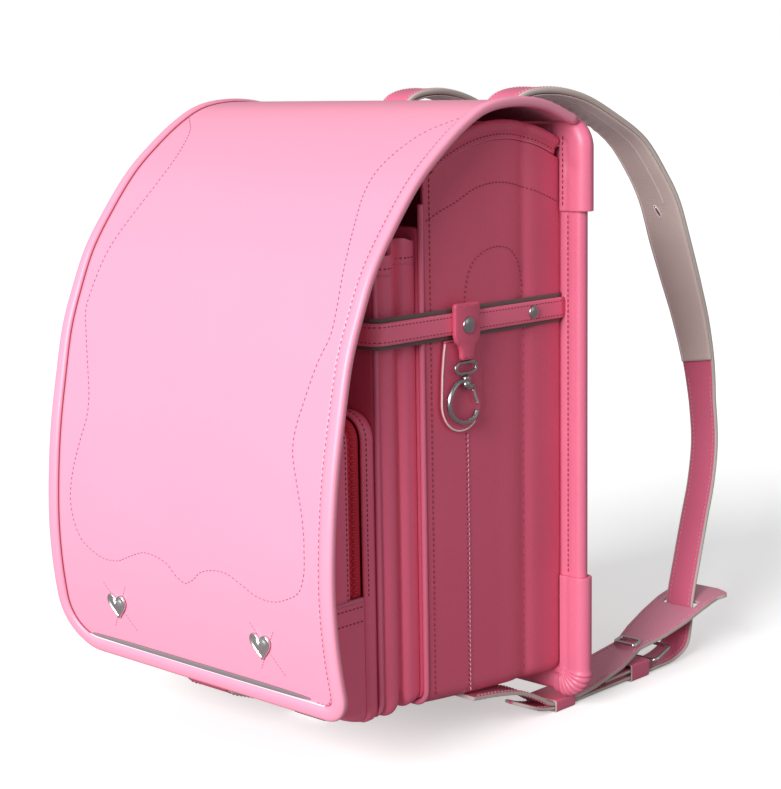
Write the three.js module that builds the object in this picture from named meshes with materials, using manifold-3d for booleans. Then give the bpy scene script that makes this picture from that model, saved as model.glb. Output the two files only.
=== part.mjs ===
// A child's school satchel with a full-length flap, built piece by piece as the real bag is.
// Millimetres, +Z up. The flap faces -Y, the wearer's back is at +Y, and the bag stands on the floor.
import * as THREE from 'three';
import { mergeVertices } from 'three/addons/utils/BufferGeometryUtils.js';
import Module from 'manifold-3d';

const wasm = await Module();
wasm.setup();

// Driving dimensions. Heights are above the seat line where the body meets the back panel.
const bodyWidth = 223;
const mainDepth = 123;
const mainFrontHeight = 292;
const sideTopHeight = 340;
const sideTopDrop = 17;
const baseRise = 8.7;
const leather = 2.4;
const seamGap = 0.3;

const backWidth = 258.6;
const backTop = 350;
const backBottom = -14;
const bindingWidth = 16.5;
const bindingThickness = 9;
const bindingCorner = 17;
const boardThickness = 5;
const padThickness = 9;

const capHeight = 56;
const capBulge = 5;
const capLeather = 1.6;
const patchHeight = 78;
const patchBulge = 2.8;
const pleatDepth = 0.9;
const cornerSlack = 0.75;

const hemHeight = 10;
const hemThickness = 5.6;
const hemInset = 6.6;
const pipingRadius = 3.3;

const smallDepth = 27.5;
const smallHeight = 285;
const smallInset = 4;
const smallFrontHeight = 271;
const pocketBaseHeight = 9;

const zipWidth = 206;
const zipTop = 190;
const zipBottom = 8;
const zipCorner = 22;
const zipRearStrip = 8;
const zipOpening = 10;
const zipFrontStrip = 13;
const zipRecess = 2.6;
const zipEndHeight = 84;
const zipFootRise = 12;

const flapWidth = 254;
const flapReach = 217.5;
const flapTop = 362.3;
const flapLeather = 2.4;
const rimWidth = 9.4;
const rimThickness = 6.2;
const flapCornerRight = 18;
const flapCornerLeft = 34;
const stripWidth = 3.2;
const stripLeather = 0.9;

const heartWidth = 17;
const heartHeight = 16;
const heartThickness = 2.6;
const heartSpacing = 130;
const heartFromEdge = 37.5;

const beltHeight = 234.8;
const beltWidth = 13;
const backingWidth = 18;
const beltLeather = 2.2;
const backingThickness = 0.9;
const beltCorner = 6;
const rivetRadius = 4.4;
const rivetHeight = 2;
const beltRivetFromBack = 31;

const hookFromBack = 91;
const hangerWidth = 22;
const hangerNeck = 11;
const hangerDrop = 33.5;
const hangerLeather = 2;
const hangerRivetDrop = 13;
const padWidth = 36;
const padLength = 55;
const padLeather = 1.6;
const hookForward = 4;
const ringWire = 1.15;
const ringWidth = 18;
const ringHeight = 6.5;
const barrelRadius = 2.8;
const barrelLength = 7;
const hookWire = 1.5;
const hookWidth = 22;
const hookLength = 22;
const gateThickness = 2;

const strapSpacing = 90;
const strapSpread = 206;
const strapWidth = 35;
const strapTailWidth = 22;
const strapThickness = 4;
const tailThickness = 2.2;
const liningThickness = 1.3;
const liningGap = 0.6;
const strapReach = 203.7;
const strapTop = 367;
const floorDrop = 25.3;
const keeperLeather = 1;
const keeperLength = 20;
const keeperFrontAt = 2;
const keeperRearAt = 83;
const keeperRearHeight = 11.8;
const lowerStrapThickness = 2.3;
const leafWidth = 40;
const leafReach = 178;
const slotLength = 27;
const slotWidth = 9;
const buckleWire = 1.3;
const buckleLength = 17;
const prongWidth = 16;

const tongueWidth = 40;
const tongueLeather = 2.6;
const lockWidth = 34;
const lockDepth = 20;
const lockFromBack = 106;
const anchorWidth = 128;
const anchorHeight = 26;
const anchorThickness = 2;

// Colours
const colours = {
  flap: new THREE.MeshStandardMaterial({ color: 0xf9a9cb, roughness: 0.45, metalness: 0 }),
  body: new THREE.MeshStandardMaterial({ color: 0xd65c84, roughness: 0.5, metalness: 0 }),
  trim: new THREE.MeshStandardMaterial({ color: 0xee7fa4, roughness: 0.5, metalness: 0 }),
  zip: new THREE.MeshStandardMaterial({ color: 0x8f1b3c, roughness: 0.7, metalness: 0 }),
  lining: new THREE.MeshStandardMaterial({ color: 0xc9b8ab, roughness: 0.6, metalness: 0 }),
  reflective: new THREE.MeshStandardMaterial({ color: 0xa9a8ab, roughness: 0.5, metalness: 0 }),
  steel: new THREE.MeshStandardMaterial({ color: 0xc9ccd0, roughness: 0.25, metalness: 1 }),
};

const bag = new THREE.Group();

function addPiece(name, geometry, material) {
  const piece = new THREE.Mesh(geometry, material);
  piece.name = name;
  bag.add(piece);
  return piece;
}

// The same piece on the wearer's right (x > 0) and left (x < 0)
function addPair(name, make, material) {
  addPiece(`${name}_right`, make(1), material);
  addPiece(`${name}_left`, make(-1), material);
}

function signedVolume(points, faces) {
  let sum = 0;
  for (const [a, b, c] of faces) {
    sum += points[a].dot(new THREE.Vector3().crossVectors(points[b], points[c]));
  }
  return sum / 6;
}

// Turns a closed list of faces outwards and makes it a geometry
function closedGeometry(points, faces) {
  const outward = signedVolume(points, faces) > 0;
  const geometry = new THREE.BufferGeometry();
  geometry.setAttribute('position', new THREE.Float32BufferAttribute(points.flatMap((p) => [p.x, p.y, p.z]), 3));
  geometry.setIndex(faces.flatMap(([a, b, c]) => (outward ? [a, b, c] : [a, c, b])));
  return geometry;
}

// A wall between two grids of points that have the same rows and columns
function wallBetween(outer, inner, closedRows = false) {
  const rows = outer.length;
  const columns = outer[0].length;
  const points = [...outer.flat(), ...inner.flat()];
  const at = (side, i, j) => side * rows * columns + (i % rows) * columns + j;
  const faces = [];
  const quad = (a, b, c, d) => faces.push([a, b, c], [a, c, d]);
  const spans = closedRows ? rows : rows - 1;
  for (let i = 0; i < spans; i += 1) {
    for (let j = 0; j < columns - 1; j += 1) {
      quad(at(0, i, j), at(0, i + 1, j), at(0, i + 1, j + 1), at(0, i, j + 1));
      quad(at(1, i, j), at(1, i, j + 1), at(1, i + 1, j + 1), at(1, i + 1, j));
    }
    quad(at(0, i, 0), at(1, i, 0), at(1, i + 1, 0), at(0, i + 1, 0));
    quad(at(0, i, columns - 1), at(0, i + 1, columns - 1), at(1, i + 1, columns - 1), at(1, i, columns - 1));
  }
  if (!closedRows) {
    for (let j = 0; j < columns - 1; j += 1) {
      quad(at(0, 0, j), at(0, 0, j + 1), at(1, 0, j + 1), at(1, 0, j));
      quad(at(0, rows - 1, j), at(1, rows - 1, j), at(1, rows - 1, j + 1), at(0, rows - 1, j + 1));
    }
  }
  return closedGeometry(points, faces);
}

// A bar whose cross-sections are rings of points, with flat ends unless it runs round in a loop
function barThrough(rings, loop = false) {
  const count = rings[0].length;
  const points = rings.flat();
  const faces = [];
  const spans = loop ? rings.length : rings.length - 1;
  for (let i = 0; i < spans; i += 1) {
    const next = (i + 1) % rings.length;
    for (let k = 0; k < count; k += 1) {
      const l = (k + 1) % count;
      faces.push([i * count + k, next * count + k, next * count + l]);
      faces.push([i * count + k, next * count + l, i * count + l]);
    }
  }
  if (!loop) {
    const last = (rings.length - 1) * count;
    for (let k = 1; k < count - 1; k += 1) {
      faces.push([0, k, k + 1]);
      faces.push([last, last + k + 1, last + k]);
    }
  }
  return closedGeometry(points, faces);
}

// Joins and cuts
function toSolid(geometry) {
  const bare = geometry.clone();
  bare.deleteAttribute('normal');
  bare.deleteAttribute('uv');
  const merged = mergeVertices(bare, 1e-4);
  return new wasm.Manifold(new wasm.Mesh({
    numProp: 3,
    vertProperties: new Float32Array(merged.attributes.position.array),
    triVerts: new Uint32Array(merged.index.array),
  }));
}

function toGeometry(solid) {
  const mesh = solid.getMesh();
  const geometry = new THREE.BufferGeometry();
  geometry.setAttribute('position', new THREE.BufferAttribute(new Float32Array(mesh.vertProperties), 3));
  geometry.setIndex(new THREE.BufferAttribute(new Uint32Array(mesh.triVerts), 1));
  return geometry;
}

const join = (a, b) => toGeometry(toSolid(a).add(toSolid(b)));
const cut = (a, b) => toGeometry(toSolid(a).subtract(toSolid(b)));

function block(width, depth, height, x, y, z) {
  return new THREE.BoxGeometry(width, depth, height).translate(x, y, z);
}

// Evenly spaced values from a to b, both ends included
const steps = (a, b, count) => Array.from({ length: count + 1 }, (unused, i) => a + ((b - a) * i) / count);

const mix = (a, b, t) => a + (b - a) * t;

// Upright outlines seen from the front, in x and z

function arc(cx, cz, radius, from, to, count) {
  return steps(from, to, count).map((t) => new THREE.Vector2(cx + radius * Math.cos(t), cz + radius * Math.sin(t)));
}

// A trough: down the right side, round the bottom corners and up the left side
function troughOutline(half, bottom, top, radius) {
  const right = steps(top, bottom + radius, 3).slice(0, -1).map((z) => new THREE.Vector2(half, z));
  const corner = arc(half - radius, bottom + radius, radius, 0, -Math.PI / 2, 4);
  const floor = steps(half - radius, 0, 2).slice(1).map((x) => new THREE.Vector2(x, bottom));
  const rightHalf = [...right, ...corner, ...floor];
  const leftHalf = rightHalf.slice(0, -1).reverse().map((p) => new THREE.Vector2(-p.x, p.y));
  return [...rightHalf, ...leftHalf];
}

// A closed outline with round corners, anticlockwise from the middle of the right side
function roundedOutline(half, bottom, top, topRadius, bottomRadius, count = 4) {
  const quarter = Math.PI / 2;
  return [
    ...arc(half - topRadius, top - topRadius, topRadius, 0, quarter, count),
    ...arc(-half + topRadius, top - topRadius, topRadius, quarter, 2 * quarter, count),
    ...arc(-half + bottomRadius, bottom + bottomRadius, bottomRadius, 2 * quarter, 3 * quarter, count),
    ...arc(half - bottomRadius, bottom + bottomRadius, bottomRadius, 3 * quarter, 4 * quarter, count),
  ];
}

// An upright sheet: the outline pushed from y = front to y = back
function uprightSheet(outline, front, back) {
  const shape = new THREE.Shape(outline);
  const geometry = new THREE.ExtrudeGeometry(shape, { depth: back - front, bevelEnabled: false, steps: 1 });
  geometry.rotateX(Math.PI / 2);
  return geometry.translate(0, back, 0);
}

// A sheet that lies against the side of the bag: the outline is in y and z, pushed outwards in x
function sideSheet(outline, side, inner, outer) {
  const shape = new THREE.Shape(outline);
  const geometry = new THREE.ExtrudeGeometry(shape, { depth: outer - inner, bevelEnabled: false, steps: 1 });
  geometry.rotateX(Math.PI / 2).rotateZ(Math.PI / 2).translate(inner, 0, 0);
  return side > 0 ? geometry : mirrored(geometry);
}

// The same solid on the other side of the bag
function mirrored(geometry) {
  const copy = geometry.clone().scale(-1, 1, 1);
  const index = copy.index ? Array.from(copy.index.array) : steps(0, copy.attributes.position.count - 1,
    copy.attributes.position.count - 1);
  for (let i = 0; i < index.length; i += 3) {
    [index[i + 1], index[i + 2]] = [index[i + 2], index[i + 1]];
  }
  copy.setIndex(index);
  return copy;
}

const onSide = (geometry, side) => (side > 0 ? geometry : mirrored(geometry));

// Main compartment: one strip of leather down one side, under the base and up the other side

const bodyHalf = bodyWidth / 2;
const bodyCorner = 9;

// The folds of the side, from the back panel to the front: share of the depth, push outwards in mm
const sideFolds = [
  { depth: 0, push: 0.9 },
  { depth: 0.12, push: 1.1 },
  { depth: 0.22, push: 0.5 },
  { depth: 0.275, push: -1.3 },
  { depth: 0.33, push: 0 },
  { depth: 0.5, push: 0.5 },
  { depth: 0.72, push: 0.6 },
  { depth: 0.9, push: 0.2 },
  { depth: 1, push: -0.4 },
];

const baseAt = (y) => baseRise * (-y / mainDepth) ** 1.3;
const sideArchAt = (y) => sideTopHeight - sideTopDrop * ((-y - 0.45 * mainDepth) / (0.49 * mainDepth)) ** 2;

function mainGusset() {
  const outline = (fold, inset) => {
    const y = -seamGap - fold.depth * (mainDepth - seamGap);
    const half = bodyHalf + fold.push - inset;
    const top = sideArchAt(y) - seamGap;
    return troughOutline(half, baseAt(y) + inset, top, bodyCorner - inset).map((p) => new THREE.Vector3(p.x, y, p.y));
  };
  const outer = sideFolds.map((fold) => outline(fold, 0));
  const inner = sideFolds.map((fold) => outline(fold, leather));
  return wallBetween(outer, inner);
}

// A rolled edge that follows a trough outline, of round section
function troughPiping(half, bottom, top, corner, y, radius) {
  const middle = troughOutline(half, bottom, top, corner);
  const rings = middle.map((p, i) => {
    const before = middle[Math.max(i - 1, 0)];
    const after = middle[Math.min(i + 1, middle.length - 1)];
    const along = after.clone().sub(before).normalize();
    const across = new THREE.Vector2(-along.y, along.x);
    return steps(0, 2 * Math.PI, 7).slice(0, -1).map((t) => new THREE.Vector3(
      p.x + across.x * radius * Math.cos(t), y + radius * Math.sin(t), p.y + across.y * radius * Math.cos(t)));
  });
  return barThrough(rings);
}

const mainPipingHalf = bodyHalf - 2.4;
const mainPipingY = -mainDepth - seamGap - pipingRadius;
const mainBaseFront = baseAt(-mainDepth);

function mainPiping() {
  return troughPiping(mainPipingHalf, mainBaseFront + 1.5, mainFrontHeight, bodyCorner, mainPipingY, pipingRadius);
}

function panelOutline(half, bottom, top, corner) {
  return [
    new THREE.Vector2(half, top),
    new THREE.Vector2(-half, top),
    ...arc(-half + corner, bottom + corner, corner, Math.PI, 1.5 * Math.PI, 3),
    ...arc(half - corner, bottom + corner, corner, 1.5 * Math.PI, 2 * Math.PI, 3),
  ];
}

function mainFrontPanel() {
  const edge = pipingRadius + seamGap;
  const outline = panelOutline(mainPipingHalf - edge, mainBaseFront + 1.5 + edge, mainFrontHeight, bodyCorner - edge);
  return uprightSheet(outline, mainPipingY - leather / 2, mainPipingY + leather / 2);
}

// The rolled hem on the arched top edge of each side
function sideHem(side) {
  const rings = steps(-hemInset, hemInset - mainDepth, 10).map((y) => {
    const low = sideArchAt(y);
    const slope = (sideArchAt(y - 1) - sideArchAt(y + 1)) / 2;
    const tilt = new THREE.Vector2(slope, 1).normalize();
    return steps(0, 2 * Math.PI, 8).slice(0, -1).map((t) => {
      const lift = (hemHeight / 2) * (1 + Math.sin(t));
      return new THREE.Vector3(
        side * (bodyHalf - leather / 2 + (hemThickness / 2) * Math.cos(t)), y + tilt.x * lift, low + tilt.y * lift);
    });
  });
  return barThrough(rings);
}

// Small front compartment: a narrow strip with a deep fold in the middle of each side

const smallHalf = bodyHalf - smallInset;
const smallBack = mainPipingY - pipingRadius - seamGap;
const smallFront = smallBack - smallDepth;

const smallFolds = [
  { depth: 0, inset: 2.5 },
  { depth: 0.12, inset: 0.4 },
  { depth: 0.3, inset: 0.6 },
  { depth: 0.46, inset: 6.5 },
  { depth: 0.56, inset: 7 },
  { depth: 0.7, inset: 1 },
  { depth: 0.84, inset: -1.2 },
  { depth: 1, inset: 0.6 },
];

function smallGusset() {
  const outline = (fold, inset) => {
    const y = smallBack - fold.depth * smallDepth;
    const half = smallHalf - fold.inset - inset;
    const bottom = pocketBaseHeight + 0.5 * fold.inset + inset;
    return troughOutline(half, bottom, smallHeight, bodyCorner - inset).map((p) => new THREE.Vector3(p.x, y, p.y));
  };
  return wallBetween(smallFolds.map((fold) => outline(fold, 0)), smallFolds.map((fold) => outline(fold, leather)));
}

const smallPipingHalf = smallHalf - 1;
const smallPipingY = smallFront - seamGap - pipingRadius;

function smallPiping() {
  return troughPiping(smallPipingHalf, pocketBaseHeight + 1, smallFrontHeight, bodyCorner, smallPipingY, pipingRadius);
}

function smallFrontPanel() {
  const edge = pipingRadius + seamGap;
  const outline = panelOutline(smallPipingHalf - edge, pocketBaseHeight + 1 + edge, smallFrontHeight, bodyCorner - edge);
  return uprightSheet(outline, smallPipingY - leather / 2, smallPipingY + leather / 2);
}

// Zip pocket on the front of the small compartment

const zipHalf = zipWidth / 2;
const zipBack = smallPipingY - pipingRadius - seamGap;
const zipTapeBack = zipBack - zipRearStrip;
const zipTapeFront = zipTapeBack - zipOpening;
const zipFace = zipTapeFront - zipFrontStrip;
// The pocket's underside lifts towards the front
const zipBottomAt = (y) => zipBottom + zipFootRise * ((zipBack - y) / (zipBack - zipFace)) ** 2;

// Two grids whose columns run round in a loop, so the wall is closed along its columns
function closedWall(outer, inner) {
  const turn = (grid) => grid[0].map((unused, j) => grid.map((row) => row[j]));
  return wallBetween(turn(outer), turn(inner), true);
}

function zipRearGusset() {
  const outline = (y, wall) => roundedOutline(
    zipHalf - wall, zipBottomAt(y) + wall, zipTop - wall, zipCorner - wall, zipCorner / 2 - wall)
    .map((p) => new THREE.Vector3(p.x, y, p.y));
  const levels = steps(zipBack, zipTapeBack + seamGap, 1);
  return closedWall(levels.map((y) => outline(y, 0)), levels.map((y) => outline(y, leather)));
}

// An arch: up the right side, over the top and down the left side
function archOutline(half, bottom, top, radius) {
  return [
    ...steps(bottom, top - radius, 3).slice(0, -1).map((z) => new THREE.Vector2(half, z)),
    ...arc(half - radius, top - radius, radius, 0, Math.PI / 2, 4),
    ...arc(-half + radius, top - radius, radius, Math.PI / 2, Math.PI, 4),
    ...steps(top - radius, bottom, 3).slice(1).map((z) => new THREE.Vector2(-half, z)),
  ];
}

function archWall(half, bottom, top, radius, back, front, thickness) {
  const grid = (wall) => [back, front].map((y) => archOutline(half - wall, bottom, top - wall, radius - wall)
    .map((p) => new THREE.Vector3(p.x, y, p.y)));
  return wallBetween(grid(0), grid(thickness));
}

function zipTape() {
  return archWall(zipHalf - zipRecess, zipEndHeight + seamGap, zipTop - zipRecess, zipCorner - zipRecess,
    zipTapeBack, zipTapeFront + seamGap, leather / 2);
}

function zipFrontGusset() {
  return archWall(zipHalf, zipEndHeight + seamGap, zipTop, zipCorner, zipTapeFront, zipFace, leather);
}

function zipBase() {
  const outline = (y, wall) => troughOutline(zipHalf - wall, zipBottomAt(y) + wall, zipEndHeight, zipCorner / 2 - wall)
    .map((p) => new THREE.Vector3(p.x, y, p.y));
  const levels = steps(zipTapeBack, zipFace, 2);
  return wallBetween(levels.map((y) => outline(y, 0)), levels.map((y) => outline(y, leather)));
}

function zipFrontPanel() {
  const outline = roundedOutline(zipHalf, zipBottomAt(zipFace), zipTop, zipCorner, zipCorner / 2);
  return uprightSheet(outline, zipFace - seamGap - leather, zipFace - seamGap);
}

// Back panel with its padded binding

const backHalf = backWidth / 2;

// The binding's section: how far in from the outer edge, and how far behind the front face, as shares
const bindingSection = [
  { inward: 1, behind: 0 },
  { inward: 0.25, behind: 0 },
  { inward: 0.07, behind: 0.16 },
  { inward: 0, behind: 0.5 },
  { inward: 0.07, behind: 0.84 },
  { inward: 0.25, behind: 1 },
  { inward: 1, behind: 1 },
];

// The way round the binding: a place on its outer edge, and the direction outwards
function bindingWay(grow, count) {
  const quarter = Math.PI / 2;
  const centreX = backHalf - bindingCorner;
  const turns = [
    { x: centreX, z: backTop - bindingCorner, from: 0 },
    { x: -centreX, z: backTop - bindingCorner, from: quarter },
    { x: -centreX, z: backBottom + bindingCorner, from: 2 * quarter },
    { x: centreX, z: backBottom + bindingCorner, from: 3 * quarter },
  ];
  return turns.flatMap((turn) => steps(turn.from, turn.from + quarter, count).map((angle) => ({
    x: turn.x + (bindingCorner + grow) * Math.cos(angle),
    z: turn.z + (bindingCorner + grow) * Math.sin(angle),
    outX: Math.cos(angle),
    outZ: Math.sin(angle),
  })));
}

function flangeBinding() {
  const rings = bindingWay(0, 5).map((place) => bindingSection.map(({ inward, behind }) => new THREE.Vector3(
    place.x - place.outX * inward * bindingWidth, behind * bindingThickness, place.z - place.outZ * inward * bindingWidth)));
  return barThrough(rings, true);
}

function backPanel() {
  const inset = bindingWidth + seamGap;
  const outline = roundedOutline(backHalf - inset, backBottom + inset, backTop - inset, 1, 1, 1);
  return uprightSheet(outline, 0, boardThickness);
}

// A corner of leather drawn over the binding: the way runs along the side, round the corner and a
// little along the top or the bottom edge
const cornerEdgeRun = 4;
const capReachIn = 0.97;
const pleatReachIn = 0.78;

function cornerWay(side, vertical, reach, count) {
  const centreX = backHalf - bindingCorner;
  const centreZ = vertical > 0 ? backTop - bindingCorner : backBottom + bindingCorner;
  const sideRun = steps(reach - bindingCorner, 0, 4).slice(0, -1).map((drop) => ({
    x: backHalf, z: centreZ - vertical * drop, outX: 1, outZ: 0, turn: 0,
  }));
  const corner = steps(0, Math.PI / 2, count).map((angle) => ({
    x: centreX + bindingCorner * Math.cos(angle), z: centreZ + vertical * bindingCorner * Math.sin(angle),
    outX: Math.cos(angle), outZ: vertical * Math.sin(angle), turn: angle / (Math.PI / 2),
  }));
  const edgeEnd = {
    x: centreX - cornerEdgeRun, z: centreZ + vertical * bindingCorner, outX: 0, outZ: vertical, turn: 1,
  };
  return [...sideRun, ...corner, edgeEnd].map((place) => ({ ...place, x: side * place.x, outX: side * place.outX }));
}

// The leather over a corner stands off the binding by `stand`, less where the corner has turned
function cornerLeather(side, vertical, reach, bulge, pleats, count) {
  const grid = (wall) => cornerWay(side, vertical, reach, count).map((place) => {
    const wave = pleats ? pleatDepth * Math.sin(place.turn * pleats * 2 * Math.PI) ** 2 : 0;
    const swell = wall > 0 ? bulge * (1 - cornerSlack * place.turn) + wave : 0;
    const reachIn = pleats ? mix(capReachIn, pleatReachIn, place.turn) : capReachIn;
    return bindingSection.map(({ inward: share, behind }) => {
      const inward = Math.min(share, reachIn);
      const off = seamGap + wall;
      const outBy = off * (1 - inward) + swell * (1 - inward) ** 2;
      const foldBy = (behind - 0.5) * 2 * (off + (pleats ? wave : 0));
      const depth = behind * bindingThickness + (inward > 0.2 ? Math.sign(behind - 0.5) * (off + wave) : foldBy);
      return new THREE.Vector3(
        place.x - place.outX * (inward * bindingWidth - outBy), depth, place.z - place.outZ * (inward * bindingWidth - outBy));
    });
  });
  return wallBetween(grid(capLeather), grid(0));
}

const cornerCap = (side) => cornerLeather(side, 1, capHeight, capBulge - capLeather, 0, 5);
const cornerPatch = (side) => cornerLeather(side, -1, patchHeight, patchBulge - capLeather, 3, 10);

// A padded cushion on the wearer's side, thickest between its edges
function backPad() {
  const half = backHalf - bindingWidth - 8;
  const bottom = backBottom + bindingWidth + 10;
  const top = backTop - bindingWidth - 10;
  const grid = (face) => steps(-1, 1, 10).map((u) => steps(0, 1, 5).map((v) => {
    const edge = (1 - u ** 6) * (1 - (2 * v - 1) ** 4);
    const channel = 1 - 0.25 * Math.cos(u * Math.PI * 3) ** 8;
    const depth = boardThickness + seamGap + (face ? 1.5 + (padThickness - 1.5) * edge * channel : 0);
    return new THREE.Vector3(u * half, depth, mix(bottom, top, v));
  }));
  return wallBetween(grid(1), grid(0));
}

function strapAnchor() {
  const z = backTop - bindingWidth / 2 - anchorHeight / 2;
  return block(anchorWidth, anchorThickness, anchorHeight, 0,
    bindingThickness + seamGap + anchorThickness / 2, z);
}

// Flap: the line that it follows from the back panel over the top and down the front,
// as shares of its reach to the front and of its top height

const flapLine = [
  { reach: 0.0028, height: 0.9672 },
  { reach: 0.138, height: 0.9937 },
  { reach: 0.271, height: 1 },
  { reach: 0.391, height: 0.9895 },
  { reach: 0.478, height: 0.9647 },
  { reach: 0.575, height: 0.9246 },
  { reach: 0.662, height: 0.8805 },
  { reach: 0.749, height: 0.8197 },
  { reach: 0.828, height: 0.7535 },
  { reach: 0.878, height: 0.69 },
  { reach: 0.92, height: 0.6238 },
  { reach: 0.952, height: 0.5382 },
  { reach: 0.979, height: 0.4499 },
  { reach: 0.995, height: 0.3588 },
  { reach: 1, height: 0.276 },
  { reach: 0.991, height: 0.1932 },
  { reach: 0.97, height: 0.1159 },
  { reach: 0.947, height: 0.058 },
];

const flapCurve = new THREE.CatmullRomCurve3(
  flapLine.map(({ reach, height }) => new THREE.Vector3(0, -reach * flapReach, height * flapTop)), false, 'centripetal');
flapCurve.arcLengthDivisions = 600;
const flapLength = flapCurve.getLength();
const flapHalf = flapWidth / 2;
const sheetHalf = flapHalf - rimWidth - seamGap;
const sheetLength = flapLength - rimWidth - seamGap;

// A place on the flap: across it, along it from the back panel, and lifted off its outer face
function flapFrame(along) {
  const t = Math.min(Math.max(along / flapLength, 0), 1);
  const point = flapCurve.getPointAt(t);
  const tangent = flapCurve.getTangentAt(t);
  const normal = new THREE.Vector3(0, tangent.z, -tangent.y);
  return { point, tangent, normal };
}

function onFlap(x, along, lift) {
  const { point, normal } = flapFrame(along);
  return point.clone().addScaledVector(normal, lift).setX(x);
}

// How wide the flap is on one side at a place along it, with its lower corner rounded
function halfAt(along, half, length, radius) {
  const into = Math.max(along - (length - radius), 0);
  return half - radius + Math.sqrt(Math.max(radius ** 2 - into ** 2, 0));
}

function flapSheet() {
  const cornerRight = flapCornerRight - rimWidth;
  const cornerLeft = flapCornerLeft - rimWidth;
  const cornerStart = sheetLength - cornerLeft;
  const rows = [...steps(0, cornerStart, 16).slice(0, -1), ...steps(0, Math.PI / 2, 6).map(
    (angle) => cornerStart + cornerLeft * Math.sin(angle))];
  const columns = [-1, -0.91, -0.85, -0.3, 0.3, 0.85, 0.91, 1];
  const notch = capLeather + 2 * seamGap;
  const grid = (lift) => rows.map((along) => {
    const right = halfAt(along, sheetHalf, sheetLength, cornerRight);
    const left = halfAt(along, sheetHalf, sheetLength, cornerLeft);
    return columns.map((u) => onFlap(
      u * (u > 0 ? right : left), Math.max(along, Math.abs(u) > 0.9 ? notch : 0), lift));
  });
  return wallBetween(grid(0), grid(-flapLeather));
}

// The way down the right edge, round both lower corners and up the left edge, `inset` in from the edge
function flapEdgeWay(inset) {
  const half = flapHalf - inset;
  const length = flapLength - inset;
  const right = flapCornerRight - inset;
  const left = flapCornerLeft - inset;
  const quarter = Math.PI / 2;
  const down = steps(0, length - right, 17).slice(0, -1).map((along) => ({ x: half, along, outX: 1, outAlong: 0 }));
  const cornerRight = steps(0, quarter, 5).map((angle) => ({
    x: half - right + right * Math.cos(angle), along: length - right + right * Math.sin(angle),
    outX: Math.cos(angle), outAlong: Math.sin(angle),
  }));
  const across = steps(half - right, -half + left, 4).slice(1, -1).map((x) => ({ x, along: length, outX: 0, outAlong: 1 }));
  const cornerLeft = steps(quarter, 2 * quarter, 7).map((angle) => ({
    x: -half + left + left * Math.cos(angle), along: length - left + left * Math.sin(angle),
    outX: Math.cos(angle), outAlong: Math.sin(angle),
  }));
  const up = steps(length - left, 0, 16).slice(1).map((along) => ({ x: -half, along, outX: -1, outAlong: 0 }));
  return [...down, ...cornerRight, ...across, ...cornerLeft, ...up];
}

function flapRim() {
  const sink = -0.42 * flapLeather;
  const rings = flapEdgeWay(rimWidth / 2).map((place) => {
    const { tangent, normal } = flapFrame(place.along);
    const middle = onFlap(place.x, place.along, sink);
    const out = new THREE.Vector3(place.outX, 0, 0).addScaledVector(tangent, place.outAlong);
    return steps(0, 2 * Math.PI, 7).slice(0, -1).map((t) => middle.clone()
      .addScaledVector(out, (rimWidth / 2) * Math.cos(t))
      .addScaledVector(normal, (rimThickness / 2) * Math.sin(t)));
  });
  return barThrough(rings);
}

// The silver strip laid in the groove above the lower rim, with pointed ends
function flapStrip() {
  const half = flapHalf - flapCornerLeft + 6;
  const along = sheetLength - stripWidth / 2 - 0.6;
  const grid = (lift) => steps(-1, 1, 12).map((u) => {
    const spread = (stripWidth / 2) * (0.25 + 0.75 * Math.sqrt(Math.max(1 - u ** 4, 0)));
    return [-spread, spread].map((s) => onFlap(u * half, along + s, lift));
  });
  return wallBetween(grid(seamGap + stripLeather), grid(seamGap));
}

// Heart-headed rivets near the lower corners of the flap

function heartOutline() {
  const width = heartWidth / 2;
  const shape = new THREE.Shape();
  shape.moveTo(0, -heartHeight * 0.52);
  shape.bezierCurveTo(-width * 0.35, -heartHeight * 0.3, -width * 1.05, -heartHeight * 0.02, -width, heartHeight * 0.24);
  shape.bezierCurveTo(-width * 0.94, heartHeight * 0.54, -width * 0.25, heartHeight * 0.58, 0, heartHeight * 0.26);
  shape.bezierCurveTo(width * 0.25, heartHeight * 0.58, width * 0.94, heartHeight * 0.54, width, heartHeight * 0.24);
  shape.bezierCurveTo(width * 1.05, -heartHeight * 0.02, width * 0.35, -heartHeight * 0.3, 0, -heartHeight * 0.52);
  return shape.extractPoints(5).shape.slice(0, -1);
}

function heartRivet(side) {
  const outline = heartOutline();
  const { tangent, normal } = flapFrame(flapLength - heartFromEdge);
  const middle = onFlap((side * heartSpacing) / 2, flapLength - heartFromEdge, 0);
  const layers = [
    { lift: seamGap, size: 0.94 },
    { lift: seamGap + 0.35 * heartThickness, size: 1 },
    { lift: seamGap + 0.75 * heartThickness, size: 0.88 },
    { lift: seamGap + heartThickness, size: 0.6 },
  ];
  const rings = layers.map(({ lift, size }) => outline.map((p) => middle.clone()
    .add(new THREE.Vector3(p.x * size, 0, 0))
    .addScaledVector(tangent, -p.y * size)
    .addScaledVector(normal, lift)));
  return ringStack(rings);
}

// A stack of rings whose flat ends are fanned from their own middles
function ringStack(rings) {
  const count = rings[0].length;
  const middleOf = (ring) => ring.reduce((sum, p) => sum.add(p), new THREE.Vector3()).divideScalar(ring.length);
  const points = [...rings.flat(), middleOf(rings[0]), middleOf(rings.at(-1))];
  const low = rings.length * count;
  const last = (rings.length - 1) * count;
  const faces = [];
  for (let k = 0; k < count; k += 1) {
    const l = (k + 1) % count;
    for (let i = 0; i < rings.length - 1; i += 1) {
      faces.push([i * count + k, (i + 1) * count + l, (i + 1) * count + k]);
      faces.push([i * count + k, i * count + l, (i + 1) * count + l]);
    }
    faces.push([low, l, k]);
    faces.push([low + 1, last + k, last + l]);
  }
  return closedGeometry(points, faces);
}

// Belt round the bag: along one side, across the front under the flap and back along the other side

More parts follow.
